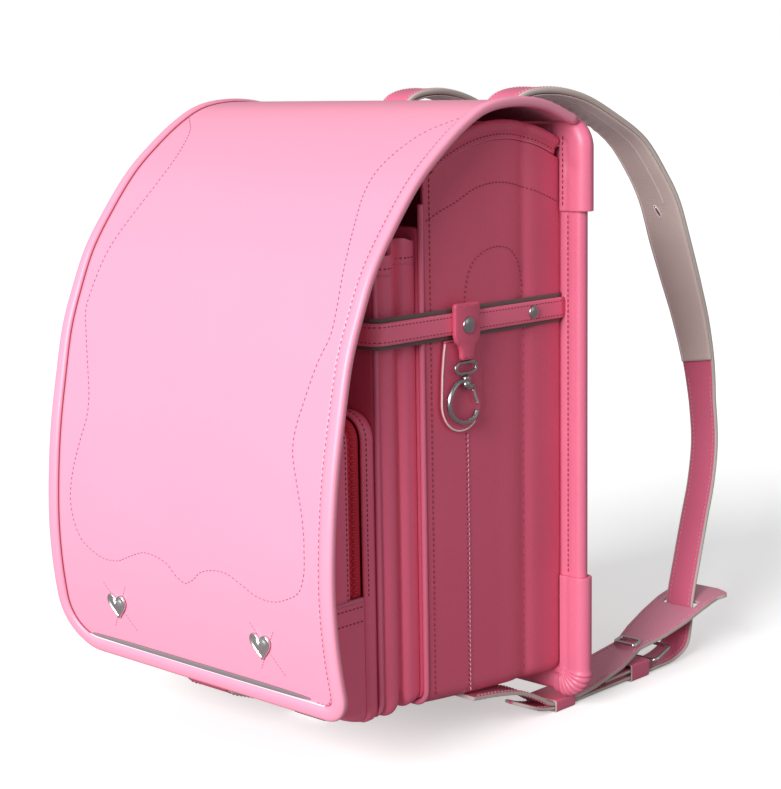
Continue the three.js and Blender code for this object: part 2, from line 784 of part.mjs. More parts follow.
const beltFace = bodyHalf + 1.1 + seamGap;
const beltFront = smallPipingY - pipingRadius - seamGap;

function beltWay(off) {
  const half = beltFace + off;
  const front = beltFront - off;
  const radius = beltCorner + off;
  const quarter = Math.PI / 2;
  const rightSide = [-seamGap, -mainDepth / 2, front + radius].map((y) => [half, y]);
  const rightCorner = steps(0, quarter, 5).slice(1).map(
    (angle) => [half - radius + radius * Math.cos(angle), front + radius - radius * Math.sin(angle)]);
  const rightHalf = [...rightSide, ...rightCorner];
  return [...rightHalf, ...rightHalf.slice().reverse().map(([x, y]) => [-x, y])];
}

function beltWall(inner, outer, width) {
  const grid = (off) => beltWay(off).map(([x, y]) => [-width / 2, width / 2].map(
    (rise) => new THREE.Vector3(x, y, beltHeight + rise)));
  return wallBetween(grid(outer), grid(inner));
}

const beltInner = backingThickness + seamGap;
const beltOuter = beltInner + beltLeather;
const beltBacking = () => beltWall(0, backingThickness, backingWidth);
const sideBelt = () => beltWall(beltInner, beltOuter, beltWidth);

// A round-headed rivet that stands on a face at x = base
function sideRivet(side, y, z, base) {
  const profile = [
    { radius: 0.92, lift: 0 },
    { radius: 1, lift: 0.3 },
    { radius: 0.8, lift: 0.75 },
    { radius: 0.4, lift: 1 },
  ];
  const rings = profile.map(({ radius, lift }) => steps(0, 2 * Math.PI, 10).slice(0, -1).map((t) => new THREE.Vector3(
    side * (base + lift * rivetHeight), y + rivetRadius * radius * Math.cos(t), z + rivetRadius * radius * Math.sin(t))));
  return ringStack(rings);
}

const beltRivet = (side) => sideRivet(side, -beltRivetFromBack, beltHeight, beltFace + beltOuter + seamGap);

// Hook hanger: a leather tab over the belt that narrows to the metal ring

const hangerInner = beltFace + beltOuter + seamGap;
const hangerOuter = hangerInner + hangerLeather;
const hangerTop = beltHeight + 12;
const hangerBottom = hangerTop - hangerDrop;

function hookHanger(side) {
  const shape = new THREE.Shape();
  const y = -hookFromBack;
  const half = hangerWidth / 2;
  const neck = hangerNeck / 2;
  shape.moveTo(y - half, hangerTop);
  shape.lineTo(y - half, beltHeight - beltWidth / 2);
  shape.bezierCurveTo(y - half, beltHeight - beltWidth, y - neck, beltHeight - beltWidth, y - neck, hangerBottom + 8);
  shape.lineTo(y - neck, hangerBottom);
  shape.lineTo(y + neck, hangerBottom);
  shape.lineTo(y + neck, hangerBottom + 8);
  shape.bezierCurveTo(y + neck, beltHeight - beltWidth, y + half, beltHeight - beltWidth, y + half,
    beltHeight - beltWidth / 2);
  shape.lineTo(y + half, hangerTop);
  return sideSheet(shape.extractPoints(4).shape.slice(0, -1), side, hangerInner, hangerOuter);
}

const hangerRivet = (side) => sideRivet(side, -hookFromBack, hangerTop - hangerRivetDrop, hangerOuter + seamGap);

// Oval pad that keeps the metal hook off the side of the bag
const hookY = -hookFromBack - hookForward;

function hookPad(side) {
  const half = padWidth / 2;
  const top = beltHeight - backingWidth / 2 - seamGap;
  const y = hookY;
  const outline = [
    new THREE.Vector2(y + half * 0.8, top),
    new THREE.Vector2(y - half * 0.8, top),
    ...arc(y, top - padLength + half, half, Math.PI, 2 * Math.PI, 10),
  ];
  return sideSheet(outline, side, beltFace, beltFace + padLeather);
}

// A closed or open wire through points in y and z, at a fixed distance from the bag
function wireOnSide(way, x, radius, loop, sides = 6) {
  const count = way.length;
  const rings = way.map((p, i) => {
    const before = loop ? way[(i - 1 + count) % count] : way[Math.max(i - 1, 0)];
    const after = loop ? way[(i + 1) % count] : way[Math.min(i + 1, count - 1)];
    const along = after.clone().sub(before).normalize();
    return steps(0, 2 * Math.PI, sides).slice(0, -1).map((t) => new THREE.Vector3(
      x + radius * Math.sin(t), p.x - along.y * radius * Math.cos(t), p.y + along.x * radius * Math.cos(t)));
  });
  return barThrough(rings, loop);
}

// Metal snap hook: an oval ring in the hanger's end, a swivel barrel, a pear-shaped hook and its gate

const metalX = hangerInner + hangerLeather / 2;
const ringTop = hangerBottom - seamGap - ringWire;
const ringBottom = ringTop - ringHeight;
const barrelTop = ringBottom - ringWire - seamGap;
const barrelBottom = barrelTop - barrelLength;
const hookTop = barrelBottom + hookWire;
const hookBottom = hookTop - hookLength;
const hookMouth = -0.35;
const lugHeight = 2.6;
const lugBottom = barrelBottom - 0.4 * lugHeight;
const gateTop = new THREE.Vector2(hookY + hookWidth * 0.28, lugBottom - seamGap - 0.25 * gateThickness);

function hookRing(side) {
  const middle = (ringTop + ringBottom) / 2;
  const way = steps(0, 2 * Math.PI, 14).slice(0, -1).map((t) => new THREE.Vector2(
    hookY + (ringWidth / 2) * Math.sign(Math.cos(t)) * Math.abs(Math.cos(t)) ** 0.6,
    middle + (ringHeight / 2) * Math.sign(Math.sin(t)) * Math.abs(Math.sin(t)) ** 0.8));
  return onSide(wireOnSide(way, metalX, ringWire, true), side);
}

// The open hook leaves the barrel on the front side, runs round the pear's foot and stops below the gate
function hookBody(side) {
  const y = hookY;
  const half = hookWidth / 2;
  const foot = hookBottom + half;
  const way = [
    new THREE.Vector2(y, hookTop),
    new THREE.Vector2(y - half * 0.45, hookTop - 3),
    new THREE.Vector2(y - half * 0.85, mix(hookTop, foot, 0.6)),
    ...arc(y, foot, half, Math.PI, 2 * Math.PI + hookMouth, 9),
  ];
  const wire = wireOnSide(way, metalX, hookWire, false, 6);
  const turned = steps(0, 2 * Math.PI, 10).slice(0, -1);
  const barrel = ringStack([barrelTop, barrelBottom].map((z) => turned.map((t) => new THREE.Vector3(
    metalX + barrelRadius * Math.cos(t), y + barrelRadius * Math.sin(t), z))));
  const lug = block(2 * hookWire, half * 0.7, lugHeight, metalX, y + half * 0.35, lugBottom + lugHeight / 2);
  const body = join(join(barrel, wire), lug);
  return onSide(body, side);
}

// The sprung gate closes the pear from its hinge under the barrel to the hook's tip
function hookGate(side) {
  const half = hookWidth / 2;
  const mouth = arc(hookY, hookBottom + half, half, hookMouth, hookMouth, 1)[0];
  const tip = mouth.clone().add(new THREE.Vector2(0, hookWire + gateThickness / 2));
  const bend = gateTop.clone().lerp(tip, 0.45).add(new THREE.Vector2(-0.12, -0.04).multiplyScalar(gateThickness));
  const way = [gateTop, bend, tip];
  return onSide(wireOnSide(way, metalX, gateThickness / 2, false, 6), side);
}

// Shoulder straps: from the anchor over the top, down behind the bag, through the leather leaf
// and forward under the bag. x runs from the straps' spacing at the top to their spread at the foot;
// back and height are shares of the strap's reach and of its top height

const strapLine = [
  { spread: 0, back: 0.0705, height: 0.868, width: 0.86, thick: 1 },
  { spread: 0.01, back: 0.074, height: 0.945, width: 0.92, thick: 1 },
  { spread: 0.03, back: 0.133, height: 0.986, width: 0.97, thick: 1 },
  { spread: 0.05, back: 0.255, height: 1, width: 1, thick: 1 },
  { spread: 0.09, back: 0.422, height: 0.988, width: 1, thick: 1 },
  { spread: 0.12, back: 0.584, height: 0.951, width: 0.98, thick: 1 },
  { spread: 0.16, back: 0.729, height: 0.904, width: 0.94, thick: 1 },
  { spread: 0.22, back: 0.825, height: 0.839, width: 0.92, thick: 1 },
  { spread: 0.27, back: 0.876, height: 0.787, width: 0.95, thick: 1 },
  { spread: 0.34, back: 0.913, height: 0.71, width: 0.97, thick: 1 },
  { spread: 0.42, back: 0.947, height: 0.632, width: 0.93, thick: 1 },
  { spread: 0.49, back: 0.982, height: 0.553, width: 0.86, thick: 0.95 },
  { spread: 0.56, back: 1, height: 0.474, width: 0.76, thick: 0.9 },
  { spread: 0.63, back: 0.997, height: 0.396, width: 0.65, thick: 0.8 },
  { spread: 0.71, back: 0.979, height: 0.319, width: 0.63, thick: 0.75 },
  { spread: 0.78, back: 0.931, height: 0.246, width: 0.63, thick: 0.7 },
  { spread: 0.85, back: 0.86, height: 0.175, width: 0.63, thick: 0.7 },
  { spread: 0.93, back: 0.786, height: 0.106, width: 0.63, thick: 0.65 },
  { spread: 0.98, back: 0.728, height: 0.038, width: 0.63, thick: 0.6 },
  { spread: 1, back: 0.712, height: -0.005, width: 0.63, thick: 0.55 },
];

// The tail after the leaf: share of the strap's reach, and height above the floor in mm
const tailLine = [
  { back: 0.69, above: 9.8 },
  { back: 0.62, above: 3.6 },
  { back: 0.52, above: 2.4 },
  { back: 0.4, above: 2.4 },
  { back: 0.2, above: 2.4 },
  { back: 0.0, above: 2.4 },
  { back: -0.05, above: 2.9 },
  { back: -0.1, above: 5.2 },
  { back: -0.19, above: 12.5 },
];

const strapTopX = strapSpacing / 2;
const strapFootX = strapSpread / 2;
const strapPoints = [
  ...strapLine.map((row) => ({
    x: mix(strapTopX, strapFootX, row.spread), y: row.back * strapReach, z: row.height * strapTop,
    width: row.width * strapWidth, thick: row.thick * strapThickness,
  })),
  ...tailLine.map((row) => ({
    x: strapFootX, y: row.back * strapReach, z: row.above - floorDrop,
    width: strapTailWidth, thick: tailThickness,
  })),
];

const strapSteps = strapPoints.length - 1;

// A flat band through the points, kept level across; shapeAt gives its width and its two faces
function flatBand(points, count, from, to, shapeAt) {
  const curve = new THREE.CatmullRomCurve3(points.map((p) => new THREE.Vector3(p.x, p.y, p.z)), false, 'centripetal');
  const rings = steps(from, to, count).map((t) => {
    const middle = curve.getPoint(t);
    const along = curve.getTangent(t);
    const across = new THREE.Vector3(1, 0, 0);
    across.addScaledVector(along, -across.dot(along)).normalize();
    const out = new THREE.Vector3().crossVectors(along, across).normalize();
    const { width, low, high } = shapeAt(t);
    const edge = Math.min(1, 0.45 * (high - low));
    const section = [
      [-0.5 * width, low + edge], [-0.5 * width + edge, low], [0.5 * width - edge, low], [0.5 * width, low + edge],
      [0.5 * width, high - edge], [0.5 * width - edge, high], [-0.5 * width + edge, high], [-0.5 * width, high - edge],
    ];
    return section.map(([a, b]) => middle.clone().addScaledVector(across, a).addScaledVector(out, b));
  });
  return barThrough(rings);
}

// A value from a table of points, at the share t of the way along it
function tableAt(points, key, t) {
  const place = t * (points.length - 1);
  const low = Math.min(Math.floor(place), points.length - 2);
  return mix(points[low][key], points[low + 1][key], place - low);
}

function shoulderStrap(side) {
  const tip = 0.975;
  const shapeAt = (t) => {
    const thick = tableAt(strapPoints, 'thick', t);
    const end = t > tip ? Math.sqrt(Math.max(1 - ((t - tip) / (1 - tip)) ** 2, 0.12)) : 1;
    return { width: tableAt(strapPoints, 'width', t) * end, low: -thick / 2, high: thick / 2 };
  };
  return onSide(flatBand(strapPoints, strapSteps, 0, 1, shapeAt), side);
}

// The beige lining on the strap's inner face, between two rows of the strap's table
const liningFrom = 2;
const liningTo = 12;

function strapLining(side) {
  const shapeAt = (t) => {
    const thick = tableAt(strapPoints, 'thick', t);
    const low = thick / 2 + liningGap;
    return { width: tableAt(strapPoints, 'width', t) - 1.2, low, high: low + liningThickness };
  };
  return onSide(flatBand(strapPoints, liningTo - liningFrom, liningFrom / strapSteps, liningTo / strapSteps, shapeAt), side);
}

// Lower strap: sewn under the base, it runs back below the back panel and widens into the leaf
// that the shoulder strap passes through

const lowerStrapLine = [
  { back: -0.485, above: 29.2, width: 0.55 },
  { back: -0.34, above: 24, width: 0.55 },
  { back: -0.22, above: 17.6, width: 0.55 },
  { back: -0.12, above: 9.9, width: 0.55 },
  { back: -0.06, above: 5.7, width: 0.55 },
  { back: 0, above: 5.1, width: 0.55 },
  { back: 0.075, above: 5.1, width: 0.55 },
  { back: 0.17, above: 7.3, width: 0.55 },
  { back: 0.34, above: 14, width: 0.55 },
  { back: 0.48, above: 20, width: 0.55 },
  { back: 0.62, above: 26.2, width: 0.76 },
  { back: 0.73, above: 31.6, width: 0.95 },
  { back: 0.84, above: 37.2, width: 1 },
  { back: 0.93, above: 40, width: 0.9 },
  { back: 1, above: 41, width: 0.42 },
];

const lowerPoints = lowerStrapLine.map((row) => ({
  x: strapFootX, y: row.back * leafReach, z: row.above - floorDrop, width: row.width * leafWidth,
}));

function lowerStrap(side) {
  const shapeAt = (t) => ({
    width: tableAt(lowerPoints, 'width', t), low: -lowerStrapThickness / 2, high: lowerStrapThickness / 2,
  });
  const band = flatBand(lowerPoints, 26, 0, 1, shapeAt);
  const slotAt = slotPlace();
  const slot = block(slotLength, slotWidth, 4 * strapThickness, strapFootX, slotAt.y, slotAt.z);
  return onSide(cut(band, slot), side);
}

// Where the shoulder strap's middle line meets the leaf
function slotPlace() {
  const row = strapPoints[strapLine.length - 2];
  return { y: row.y - 1, z: row.z };
}

// A short leather loop between the leaf and the tail, which holds the buckle
const loopLine = [
  { back: 46, above: 6.6 },
  { back: 62, above: 6.8 },
  { back: 80, above: 7.4 },
  { back: 96, above: 9.2 },
];

function buckleLoop(side) {
  const points = loopLine.map((row) => ({ x: strapFootX, y: row.back, z: row.above - floorDrop }));
  const shapeAt = (t) => ({
    width: strapTailWidth * (t < 0.1 ? 0.7 : 1), low: -lowerStrapThickness / 2, high: lowerStrapThickness / 2,
  });
  return onSide(flatBand(points, 6, 0, 1, shapeAt), side);
}

// A keeper: a flat leather ring round the straps
function keeper(side, y, height) {
  const width = strapTailWidth + 2 * (keeperLeather + seamGap);
  const z = -floorDrop + height / 2;
  const outer = block(width, keeperLength, height, strapFootX, y, z);
  const inner = block(width - 2 * keeperLeather, keeperLength + 2, height - 2 * keeperLeather, strapFootX, y, z);
  return onSide(cut(outer, inner), side);
}

const patchSwellBelow = (patchBulge - capLeather) * (1 - cornerSlack) + pleatDepth;
const keeperFrontHeight = floorDrop + backBottom - capLeather - patchSwellBelow - 2 * seamGap;
const keeperFront = (side) => keeper(side, keeperFrontAt, keeperFrontHeight);
const keeperRear = (side) => keeper(side, keeperRearAt, keeperRearHeight);

// A closed wire frame, tilted with the straps; its way is given across and along
function tiltedFrame(side, halfWidth, halfLength, y, z, rise, wire) {
  const corner = Math.min(halfWidth, halfLength) * 0.35;
  const way = roundedOutline(halfWidth, -halfLength, halfLength, corner, corner, 2);
  const count = way.length;
  const rings = way.map((p, i) => {
    const along = way[(i + 1) % count].clone().sub(way[(i - 1 + count) % count]).normalize();
    return steps(0, 2 * Math.PI, 6).slice(0, -1).map((t) => new THREE.Vector3(
      strapFootX + p.x - along.y * wire * Math.cos(t),
      y + p.y + along.x * wire * Math.cos(t),
      z + rise * p.y + wire * Math.sin(t)));
  });
  return onSide(barThrough(rings, true), side);
}

function buckle(side) {
  const first = loopLine.at(-1);
  const y = first.back + seamGap + buckleLength / 2 + buckleWire;
  return tiltedFrame(side, strapTailWidth / 2 + 3, buckleLength / 2, y, first.above - floorDrop + 3.4, 0.35, buckleWire);
}

function buckleProng(side) {
  const seat = lowerPoints[9];
  const z = seat.z + lowerStrapThickness / 2 + buckleWire + 0.6;
  return tiltedFrame(side, prongWidth / 2, 4, seat.y, z, 0.17, buckleWire);
}

// Closure: the flap's tongue runs under the base to a plain lock that the bag stands on

const tongueLine = [
  { back: -210, height: 66 },
  { back: -208, height: 46 },
  { back: -204.5, height: 35 },
  { back: -201.3, height: 27 },
  { back: -199.9, height: 18.5 },
  { back: -194.5, height: 12 },
  { back: -184, height: 7.3 },
  { back: -168, height: 3 },
  { back: -140, height: 1 },
  { back: -116.3, height: 0.4 },
];

function tongue() {
  const points = tongueLine.map((row) => ({ x: 0, y: row.back, z: row.height }));
  const shapeAt = () => ({ width: tongueWidth, low: -tongueLeather / 2, high: tongueLeather / 2 });
  return flatBand(points, 16, 0, 1, shapeAt);
}

function lock() {
  const top = baseAt(-lockFromBack + lockDepth / 2) - seamGap;
  return block(lockWidth, lockDepth, top + floorDrop, 0, -lockFromBack, (top - floorDrop) / 2);
}

// Assembly

addPiece('back_panel', backPanel(), colours.body);
addPiece('flange_binding', flangeBinding(), colours.trim);
addPair('corner_cap', cornerCap, colours.trim);
addPair('corner_patch', cornerPatch, colours.trim);
addPiece('back_pad', backPad(), colours.lining);
addPiece('strap_anchor', strapAnchor(), colours.body);
addPiece('main_gusset', mainGusset(), colours.body);
addPiece('main_piping', mainPiping(), colours.body);
addPiece('main_front_panel', mainFrontPanel(), colours.body);
addPair('side_hem', sideHem, colours.body);
addPiece('small_gusset', smallGusset(), colours.body);
addPiece('small_piping', smallPiping(), colours.body);
addPiece('small_front_panel', smallFrontPanel(), colours.body);
addPiece('zip_gusset_rear', zipRearGusset(), colours.body);
addPiece('zip_tape', zipTape(), colours.zip);
addPiece('zip_gusset_front', zipFrontGusset(), colours.body);
addPiece('zip_base', zipBase(), colours.body);
addPiece('zip_front_panel', zipFrontPanel(), colours.body);
addPiece('flap', flapSheet(), colours.flap);
addPiece('flap_rim', flapRim(), colours.flap);
addPiece('flap_strip', flapStrip(), colours.reflective);
addPair('heart_rivet', heartRivet, colours.steel);
addPiece('belt_backing', beltBacking(), colours.reflective);
addPiece('side_belt', sideBelt(), colours.body);
addPair('belt_rivet', beltRivet, colours.steel);
addPair('hook_hanger', hookHanger, colours.body);
addPair('hanger_rivet', hangerRivet, colours.steel);
addPair('hook_pad', hookPad, colours.body);
addPair('hook_ring', hookRing, colours.steel);
addPair('hook_body', hookBody, colours.steel);
addPair('hook_gate', hookGate, colours.steel);
addPair('shoulder_strap', shoulderStrap, colours.body);
addPair('strap_lining', strapLining, colours.lining);
addPair('lower_strap', lowerStrap, colours.body);
addPair('buckle_loop', buckleLoop, colours.body);
addPair('keeper_front', keeperFront, colours.body);
addPair('keeper_rear', keeperRear, colours.body);
addPair('buckle', buckle, colours.steel);
addPair('buckle_prong', buckleProng, colours.steel);
addPiece('tongue', tongue(), colours.body);
addPiece('lock', lock(), colours.steel);

// The bag stands on the floor with its box centred on the origin
const box = new THREE.Box3().setFromObject(bag);
const middle = box.getCenter(new THREE.Vector3());
bag.position.set(-middle.x, -middle.y, -box.min.z);

export default bag;
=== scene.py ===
"""The looks of a pink school satchel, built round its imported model.

Lengths are in millimetres of the bag's own frame: x to the wearer's right, y back towards the wearer from
the front face of the back panel, z up from the line where the body is sewn to it. `placed` turns them
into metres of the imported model.
"""
import math

import bpy
import numpy as np
from mathutils import Matrix, Vector


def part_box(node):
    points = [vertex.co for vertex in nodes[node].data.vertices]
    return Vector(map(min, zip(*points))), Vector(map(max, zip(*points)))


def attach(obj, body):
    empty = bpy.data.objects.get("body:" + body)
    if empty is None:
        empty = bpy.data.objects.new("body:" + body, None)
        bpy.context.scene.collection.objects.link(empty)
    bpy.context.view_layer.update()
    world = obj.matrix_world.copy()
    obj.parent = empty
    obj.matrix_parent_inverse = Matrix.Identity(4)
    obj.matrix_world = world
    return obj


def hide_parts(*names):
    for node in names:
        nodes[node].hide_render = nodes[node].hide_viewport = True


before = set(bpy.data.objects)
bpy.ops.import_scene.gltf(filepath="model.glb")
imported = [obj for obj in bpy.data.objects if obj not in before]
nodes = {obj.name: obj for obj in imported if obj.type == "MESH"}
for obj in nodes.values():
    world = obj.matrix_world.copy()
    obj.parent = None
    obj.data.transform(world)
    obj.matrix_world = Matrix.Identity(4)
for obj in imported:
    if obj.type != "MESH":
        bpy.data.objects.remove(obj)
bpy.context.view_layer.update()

# Driving sizes of the back panel and the main compartment
BACK_WIDTH = 258.6
BACK_TOP = 350.0
BACK_BOTTOM = -14.0
BACK_HALF = BACK_WIDTH / 2
BODY_HALF = 111.5
BODY_DEPTH = 123.0
BODY_CORNER = 9.0
BASE_RISE = 8.7
ARCH_TOP = 340.0
ARCH_DROP = 17.0
LEATHER = 2.4
GAP = 0.3
MAIN_ROLL = 1.7
MAIN_PIPING_Y = -BODY_DEPTH - GAP - MAIN_ROLL
MAIN_PIPING_HALF = BODY_HALF - 1.0
FLOOR = -25.3

# Small front compartment and zip pocket
SMALL_ROLL = 1.5
SMALL_HALF = 107.5
SMALL_BACK = -126.9
SMALL_DEPTH = 31.0
SMALL_PIPING_Y = SMALL_BACK - SMALL_DEPTH - GAP - SMALL_ROLL
SMALL_PIPING_HALF = SMALL_HALF - 0.6
ZIP_HALF = 106.0
ZIP_BACK = -161.4
ZIP_TAPE_BACK = -171.4
ZIP_TAPE_FRONT = -182.4
ZIP_FACE = -195.9
ZIP_TOP = 190.0
ZIP_CORNER = 15.0
ZIP_END = 84.0
ZIP_BOTTOM = 8.0
ZIP_FOOT_RISE = 12.0

# Flap and its rim
FLAP_WIDTH = 254.0
FLAP_REACH = 217.5
FLAP_TOP = 362.3
FLAP_HALF = FLAP_WIDTH / 2
RIM_WIDTH = 9.4
RIM_THICKNESS = 6.2
SHEET_HALF = FLAP_HALF - RIM_WIDTH - GAP
CORNER_RIGHT = 18.0
CORNER_LEFT = 34.0

# Binding, corner leather and back pad
BINDING_WIDTH = 16.5
BINDING_THICKNESS = 9.0
BINDING_CORNER = 17.0
PATCH_SWELL = 1.2 * 0.25 + 0.9
PAD_BACK = 5.3

# Shoulder straps
STRAP_FOOT_X = 103.0
STRAP_TOP_X = 45.0
STRAP_REACH = 203.7
STRAP_TOP = 367.0
STRAP_WIDTH = 35.0
STRAP_THICKNESS = 4.0
SLIT_HEIGHT = 283.0
SECTION_POINTS = 36

# Belt, hangers and hooks
BELT_HALF = 6.5
BELT_HEIGHT = 234.8
BELT_FACE = 112.9
BELT_FRONT = -164.9
BELT_OUT = 3.4
BACKING_HALF = 9.0
HOOK_BACK = 94.8
HOOK_Y = -95.0
METAL_X = 117.6
HANGER_TOP = BELT_HEIGHT + 12
HANGER_BOTTOM = HANGER_TOP - 33.5
HANGER_IN = BELT_FACE + BELT_OUT + GAP
PAD_TOP = BELT_HEIGHT - 9.3
RING_TOP = HANGER_BOTTOM - GAP - 1.15
RING_BOTTOM = RING_TOP - 6.5
BARREL_TOP = RING_BOTTOM - 1.15 - GAP
BARREL_BOTTOM = BARREL_TOP - 7
HOOK_TOP = BARREL_BOTTOM + 1.5
HOOK_FOOT = HOOK_TOP - 22 + 11

# The photograph's camera
PICTURE_WIDTH = 781
PICTURE_REACH = 1864.95
CAMERA_PLACE = (825.825, -905.724, 373.204)

# Where the bag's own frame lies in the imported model
ORIGIN = np.array([0.0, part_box("back_panel")[0].y * 1000,
                   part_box("flange_binding")[0].z * 1000 - BACK_BOTTOM])


def placed(points):
    """Points of the bag's own frame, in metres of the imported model."""
    return (np.asarray(points, float) + ORIGIN) / 1000


# Curves and tables

def spline(points, steps=12, loop=False):
    """A centripetal Catmull-Rom curve: knots as far apart as the square root of each span's length."""
    p = np.asarray(points, float)
    if loop:
        q = np.vstack([p[-1:], p, p[:2]])
    else:
        q = np.vstack([2 * p[:1] - p[1:2], p, 2 * p[-1:] - p[-2:-1]])
    a, b, c, d = q[:-3], q[1:-2], q[2:-1], q[3:]

    def knot(u, v):
        """The square root of the distance between points."""
        return np.maximum(np.linalg.norm(v - u, axis=1), 1e-9)[:, None] ** 0.5

    ab, bc, cd = knot(a, b), knot(b, c), knot(c, d)
    leave = ((b - a) / ab - (c - a) / (ab + bc) + (c - b) / bc) * bc
    arrive = ((c - b) / bc - (d - b) / (bc + cd) + (d - c) / cd) * bc
    t = np.arange(steps)[:, None, None] / steps
    curve = ((2 * t ** 3 - 3 * t ** 2 + 1) * b + (t ** 3 - 2 * t ** 2 + t) * leave
             + (3 * t ** 2 - 2 * t ** 3) * c + (t ** 3 - t ** 2) * arrive)
    curve = curve.transpose(1, 0, 2).reshape(-1, p.shape[1])
    return curve if loop else np.vstack([curve, p[-1:]])


def lengths(curve):
    """The distance run along a curve at each of its points."""
    runs = np.linalg.norm(np.diff(curve, axis=0), axis=1)
    return np.concatenate([[0.0], np.cumsum(runs)])


def at_lengths(curve, where):
    """Points of a curve at given distances along it."""
    run = lengths(curve[:, :3])
    return np.stack([np.interp(where, run, curve[:, k]) for k in range(curve.shape[1])], axis=-1)


def evenly(curve, spacing):
    """The same curve with its points about `spacing` apart."""
    total = lengths(curve[:, :3])[-1]
    return at_lengths(curve, np.linspace(0, total, max(int(round(total / spacing)), 2) + 1))


def table(rows, x):
    """A smooth value from a table of (place, value) rows, with the slope at each row taken from its
    neighbours."""
    at, value = np.asarray(rows, float).T
    slope = np.gradient(value, at)
    x = np.clip(x, at[0], at[-1])
    low = np.clip(np.searchsorted(at, x, side="right") - 1, 0, len(at) - 2)
    span = at[low + 1] - at[low]
    t = (x - at[low]) / span
    return ((2 * t ** 3 - 3 * t ** 2 + 1) * value[low] + (t ** 3 - 2 * t ** 2 + t) * span * slope[low]
            + (3 * t ** 2 - 2 * t ** 3) * value[low + 1] + (t ** 3 - t ** 2) * span * slope[low + 1])


def turns(count):
    """Angles set evenly once round a circle."""
    return np.linspace(0, 2 * math.pi, count, endpoint=False)


def facing(count, x, y, z):
    """The same direction for each of a number of points."""
    return np.tile([float(x), float(y), float(z)], (count, 1))


def unit(vectors):
    """Vectors made one long."""
    return vectors / np.maximum(np.linalg.norm(vectors, axis=-1, keepdims=True), 1e-12)


# Meshes: a shape is its points, its four-sided faces and its three-sided faces

def grid_faces(rows, columns, loop_rows=False, loop_columns=False, start=0):
    """The four-sided faces of a grid of points numbered row by row."""
    i = np.arange(rows if loop_rows else rows - 1)[:, None]
    j = np.arange(columns if loop_columns else columns - 1)[None, :]
    next_i, next_j = (i + 1) % rows, (j + 1) % columns
    corners = [i * columns + j, next_i * columns + j, next_i * columns + next_j, i * columns + next_j]
    return start + np.stack([np.broadcast_to(c, (i.size, j.size)) for c in corners], axis=-1).reshape(-1, 4)


def bar(rings, loop=False):
    """A closed bar through rings of points, with each end fanned from its middle unless it runs in a
    loop."""
    count, sides = rings.shape[:2]
    points = rings.reshape(-1, 3)
    quads = grid_faces(count, sides, loop, True)
    if loop:
        return points, quads, np.zeros((0, 3), int)
    middles = rings[[0, -1]].mean(axis=1)
    k = np.arange(sides)
    after = (k + 1) % sides
    last = (count - 1) * sides
    start = np.stack([np.full(sides, count * sides), k, after], axis=-1)
    end = np.stack([np.full(sides, count * sides + 1), last + after, last + k], axis=-1)
    return np.vstack([points, middles]), quads, np.vstack([start, end])


def sheet(grid, loop_rows=False, loop_columns=False):
    """An open surface, to be given its thickness by a modifier."""
    rows, columns = grid.shape[:2]
    return grid.reshape(-1, 3), grid_faces(rows, columns, loop_rows, loop_columns), np.zeros((0, 3), int)


def together(shapes):
    """Several shapes as one."""
    starts = np.cumsum([0] + [len(s[0]) for s in shapes[:-1]])
    return (np.vstack([s[0] for s in shapes]),
            np.vstack([s[1] + n for s, n in zip(shapes, starts)]),
            np.vstack([s[2] + n for s, n in zip(shapes, starts)]))


def mirrored(shape):
    """The shape on the other side of the bag, its faces turned back outwards."""
    points, quads, tris = shape
    return points * [-1, 1, 1], quads[:, ::-1], tris[:, ::-1]


def outwards(shape):
    """A closed shape whose faces point outwards: its signed volume is made positive."""
    points, quads, tris = shape
    faces = np.vstack([quads[:, [0, 1, 2]], quads[:, [0, 2, 3]], tris])
    a, b, c = (points[faces[:, k]] for k in range(3))
    if np.einsum("ij,ij->", a, np.cross(b, c)) < 0:
        return points, quads[:, ::-1], tris[:, ::-1]
    return shape


def piece(name, shape, material, body="bag", stands_for=(), slot="body_leather", thickness=0.0,
          rounded=0.0, edge=None, edge_columns=None):
    """Puts a shape into Blender, where it rides on a body and stands for CAD nodes; `edge` paints its
    cut edges."""
    points, quads, tris = shape if thickness else outwards(shape)
    mesh = bpy.data.meshes.new(name)
    mesh.from_pydata(placed(points).tolist(), [], quads.tolist() + tris.tolist())
    mesh.polygons.foreach_set("use_smooth", np.ones(len(mesh.polygons), bool))
    mesh.update()
    obj = bpy.data.objects.new(name, mesh)
    bpy.context.scene.collection.objects.link(obj)
    mesh.materials.append(material)
    if edge:
        mesh.materials.append(edge)
    if edge_columns is not None:
        painted = np.isin(np.arange(len(quads)) % SECTION_POINTS, edge_columns).astype(np.int32)
        mesh.polygons.foreach_set("material_index",
                                  np.concatenate([painted, np.zeros(len(tris), np.int32)]))
    if thickness:
        solid = obj.modifiers.new("thickness", "SOLIDIFY")
        solid.thickness = thickness / 1000
        solid.offset = 0
        solid.material_offset_rim = 1 if edge else 0
    if rounded:
        bevel = obj.modifiers.new("edge", "BEVEL")
        bevel.width = rounded / 1000
        bevel.segments = 3
        bevel.limit_method = "ANGLE"
        bevel.angle_limit = math.radians(50)
    if stands_for:
        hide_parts(*stands_for)
    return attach(obj, body)


def pair(name, make, material, **facts):
    """A piece on each side of the bag; `make` gives the right one."""
    for side in ("right", "left"):
        shape = make() if side == "right" else mirrored(make())
        stands = [f"{node}_{side}" for node in facts.get("stands_for", ())]
        piece(f"{name}_{side}", shape, material, **{**facts, "stands_for": stands})


def frames(path, level=(1.0, 0.0, 0.0)):
    """Along, across and out at each point of a path: across is kept level, out is square to both."""
    along = unit(np.gradient(path, axis=0))
    across = np.broadcast_to(np.asarray(level, float), path.shape)
    across = unit(across - (across * along).sum(-1, keepdims=True) * along)
    return along, across, np.cross(along, across)


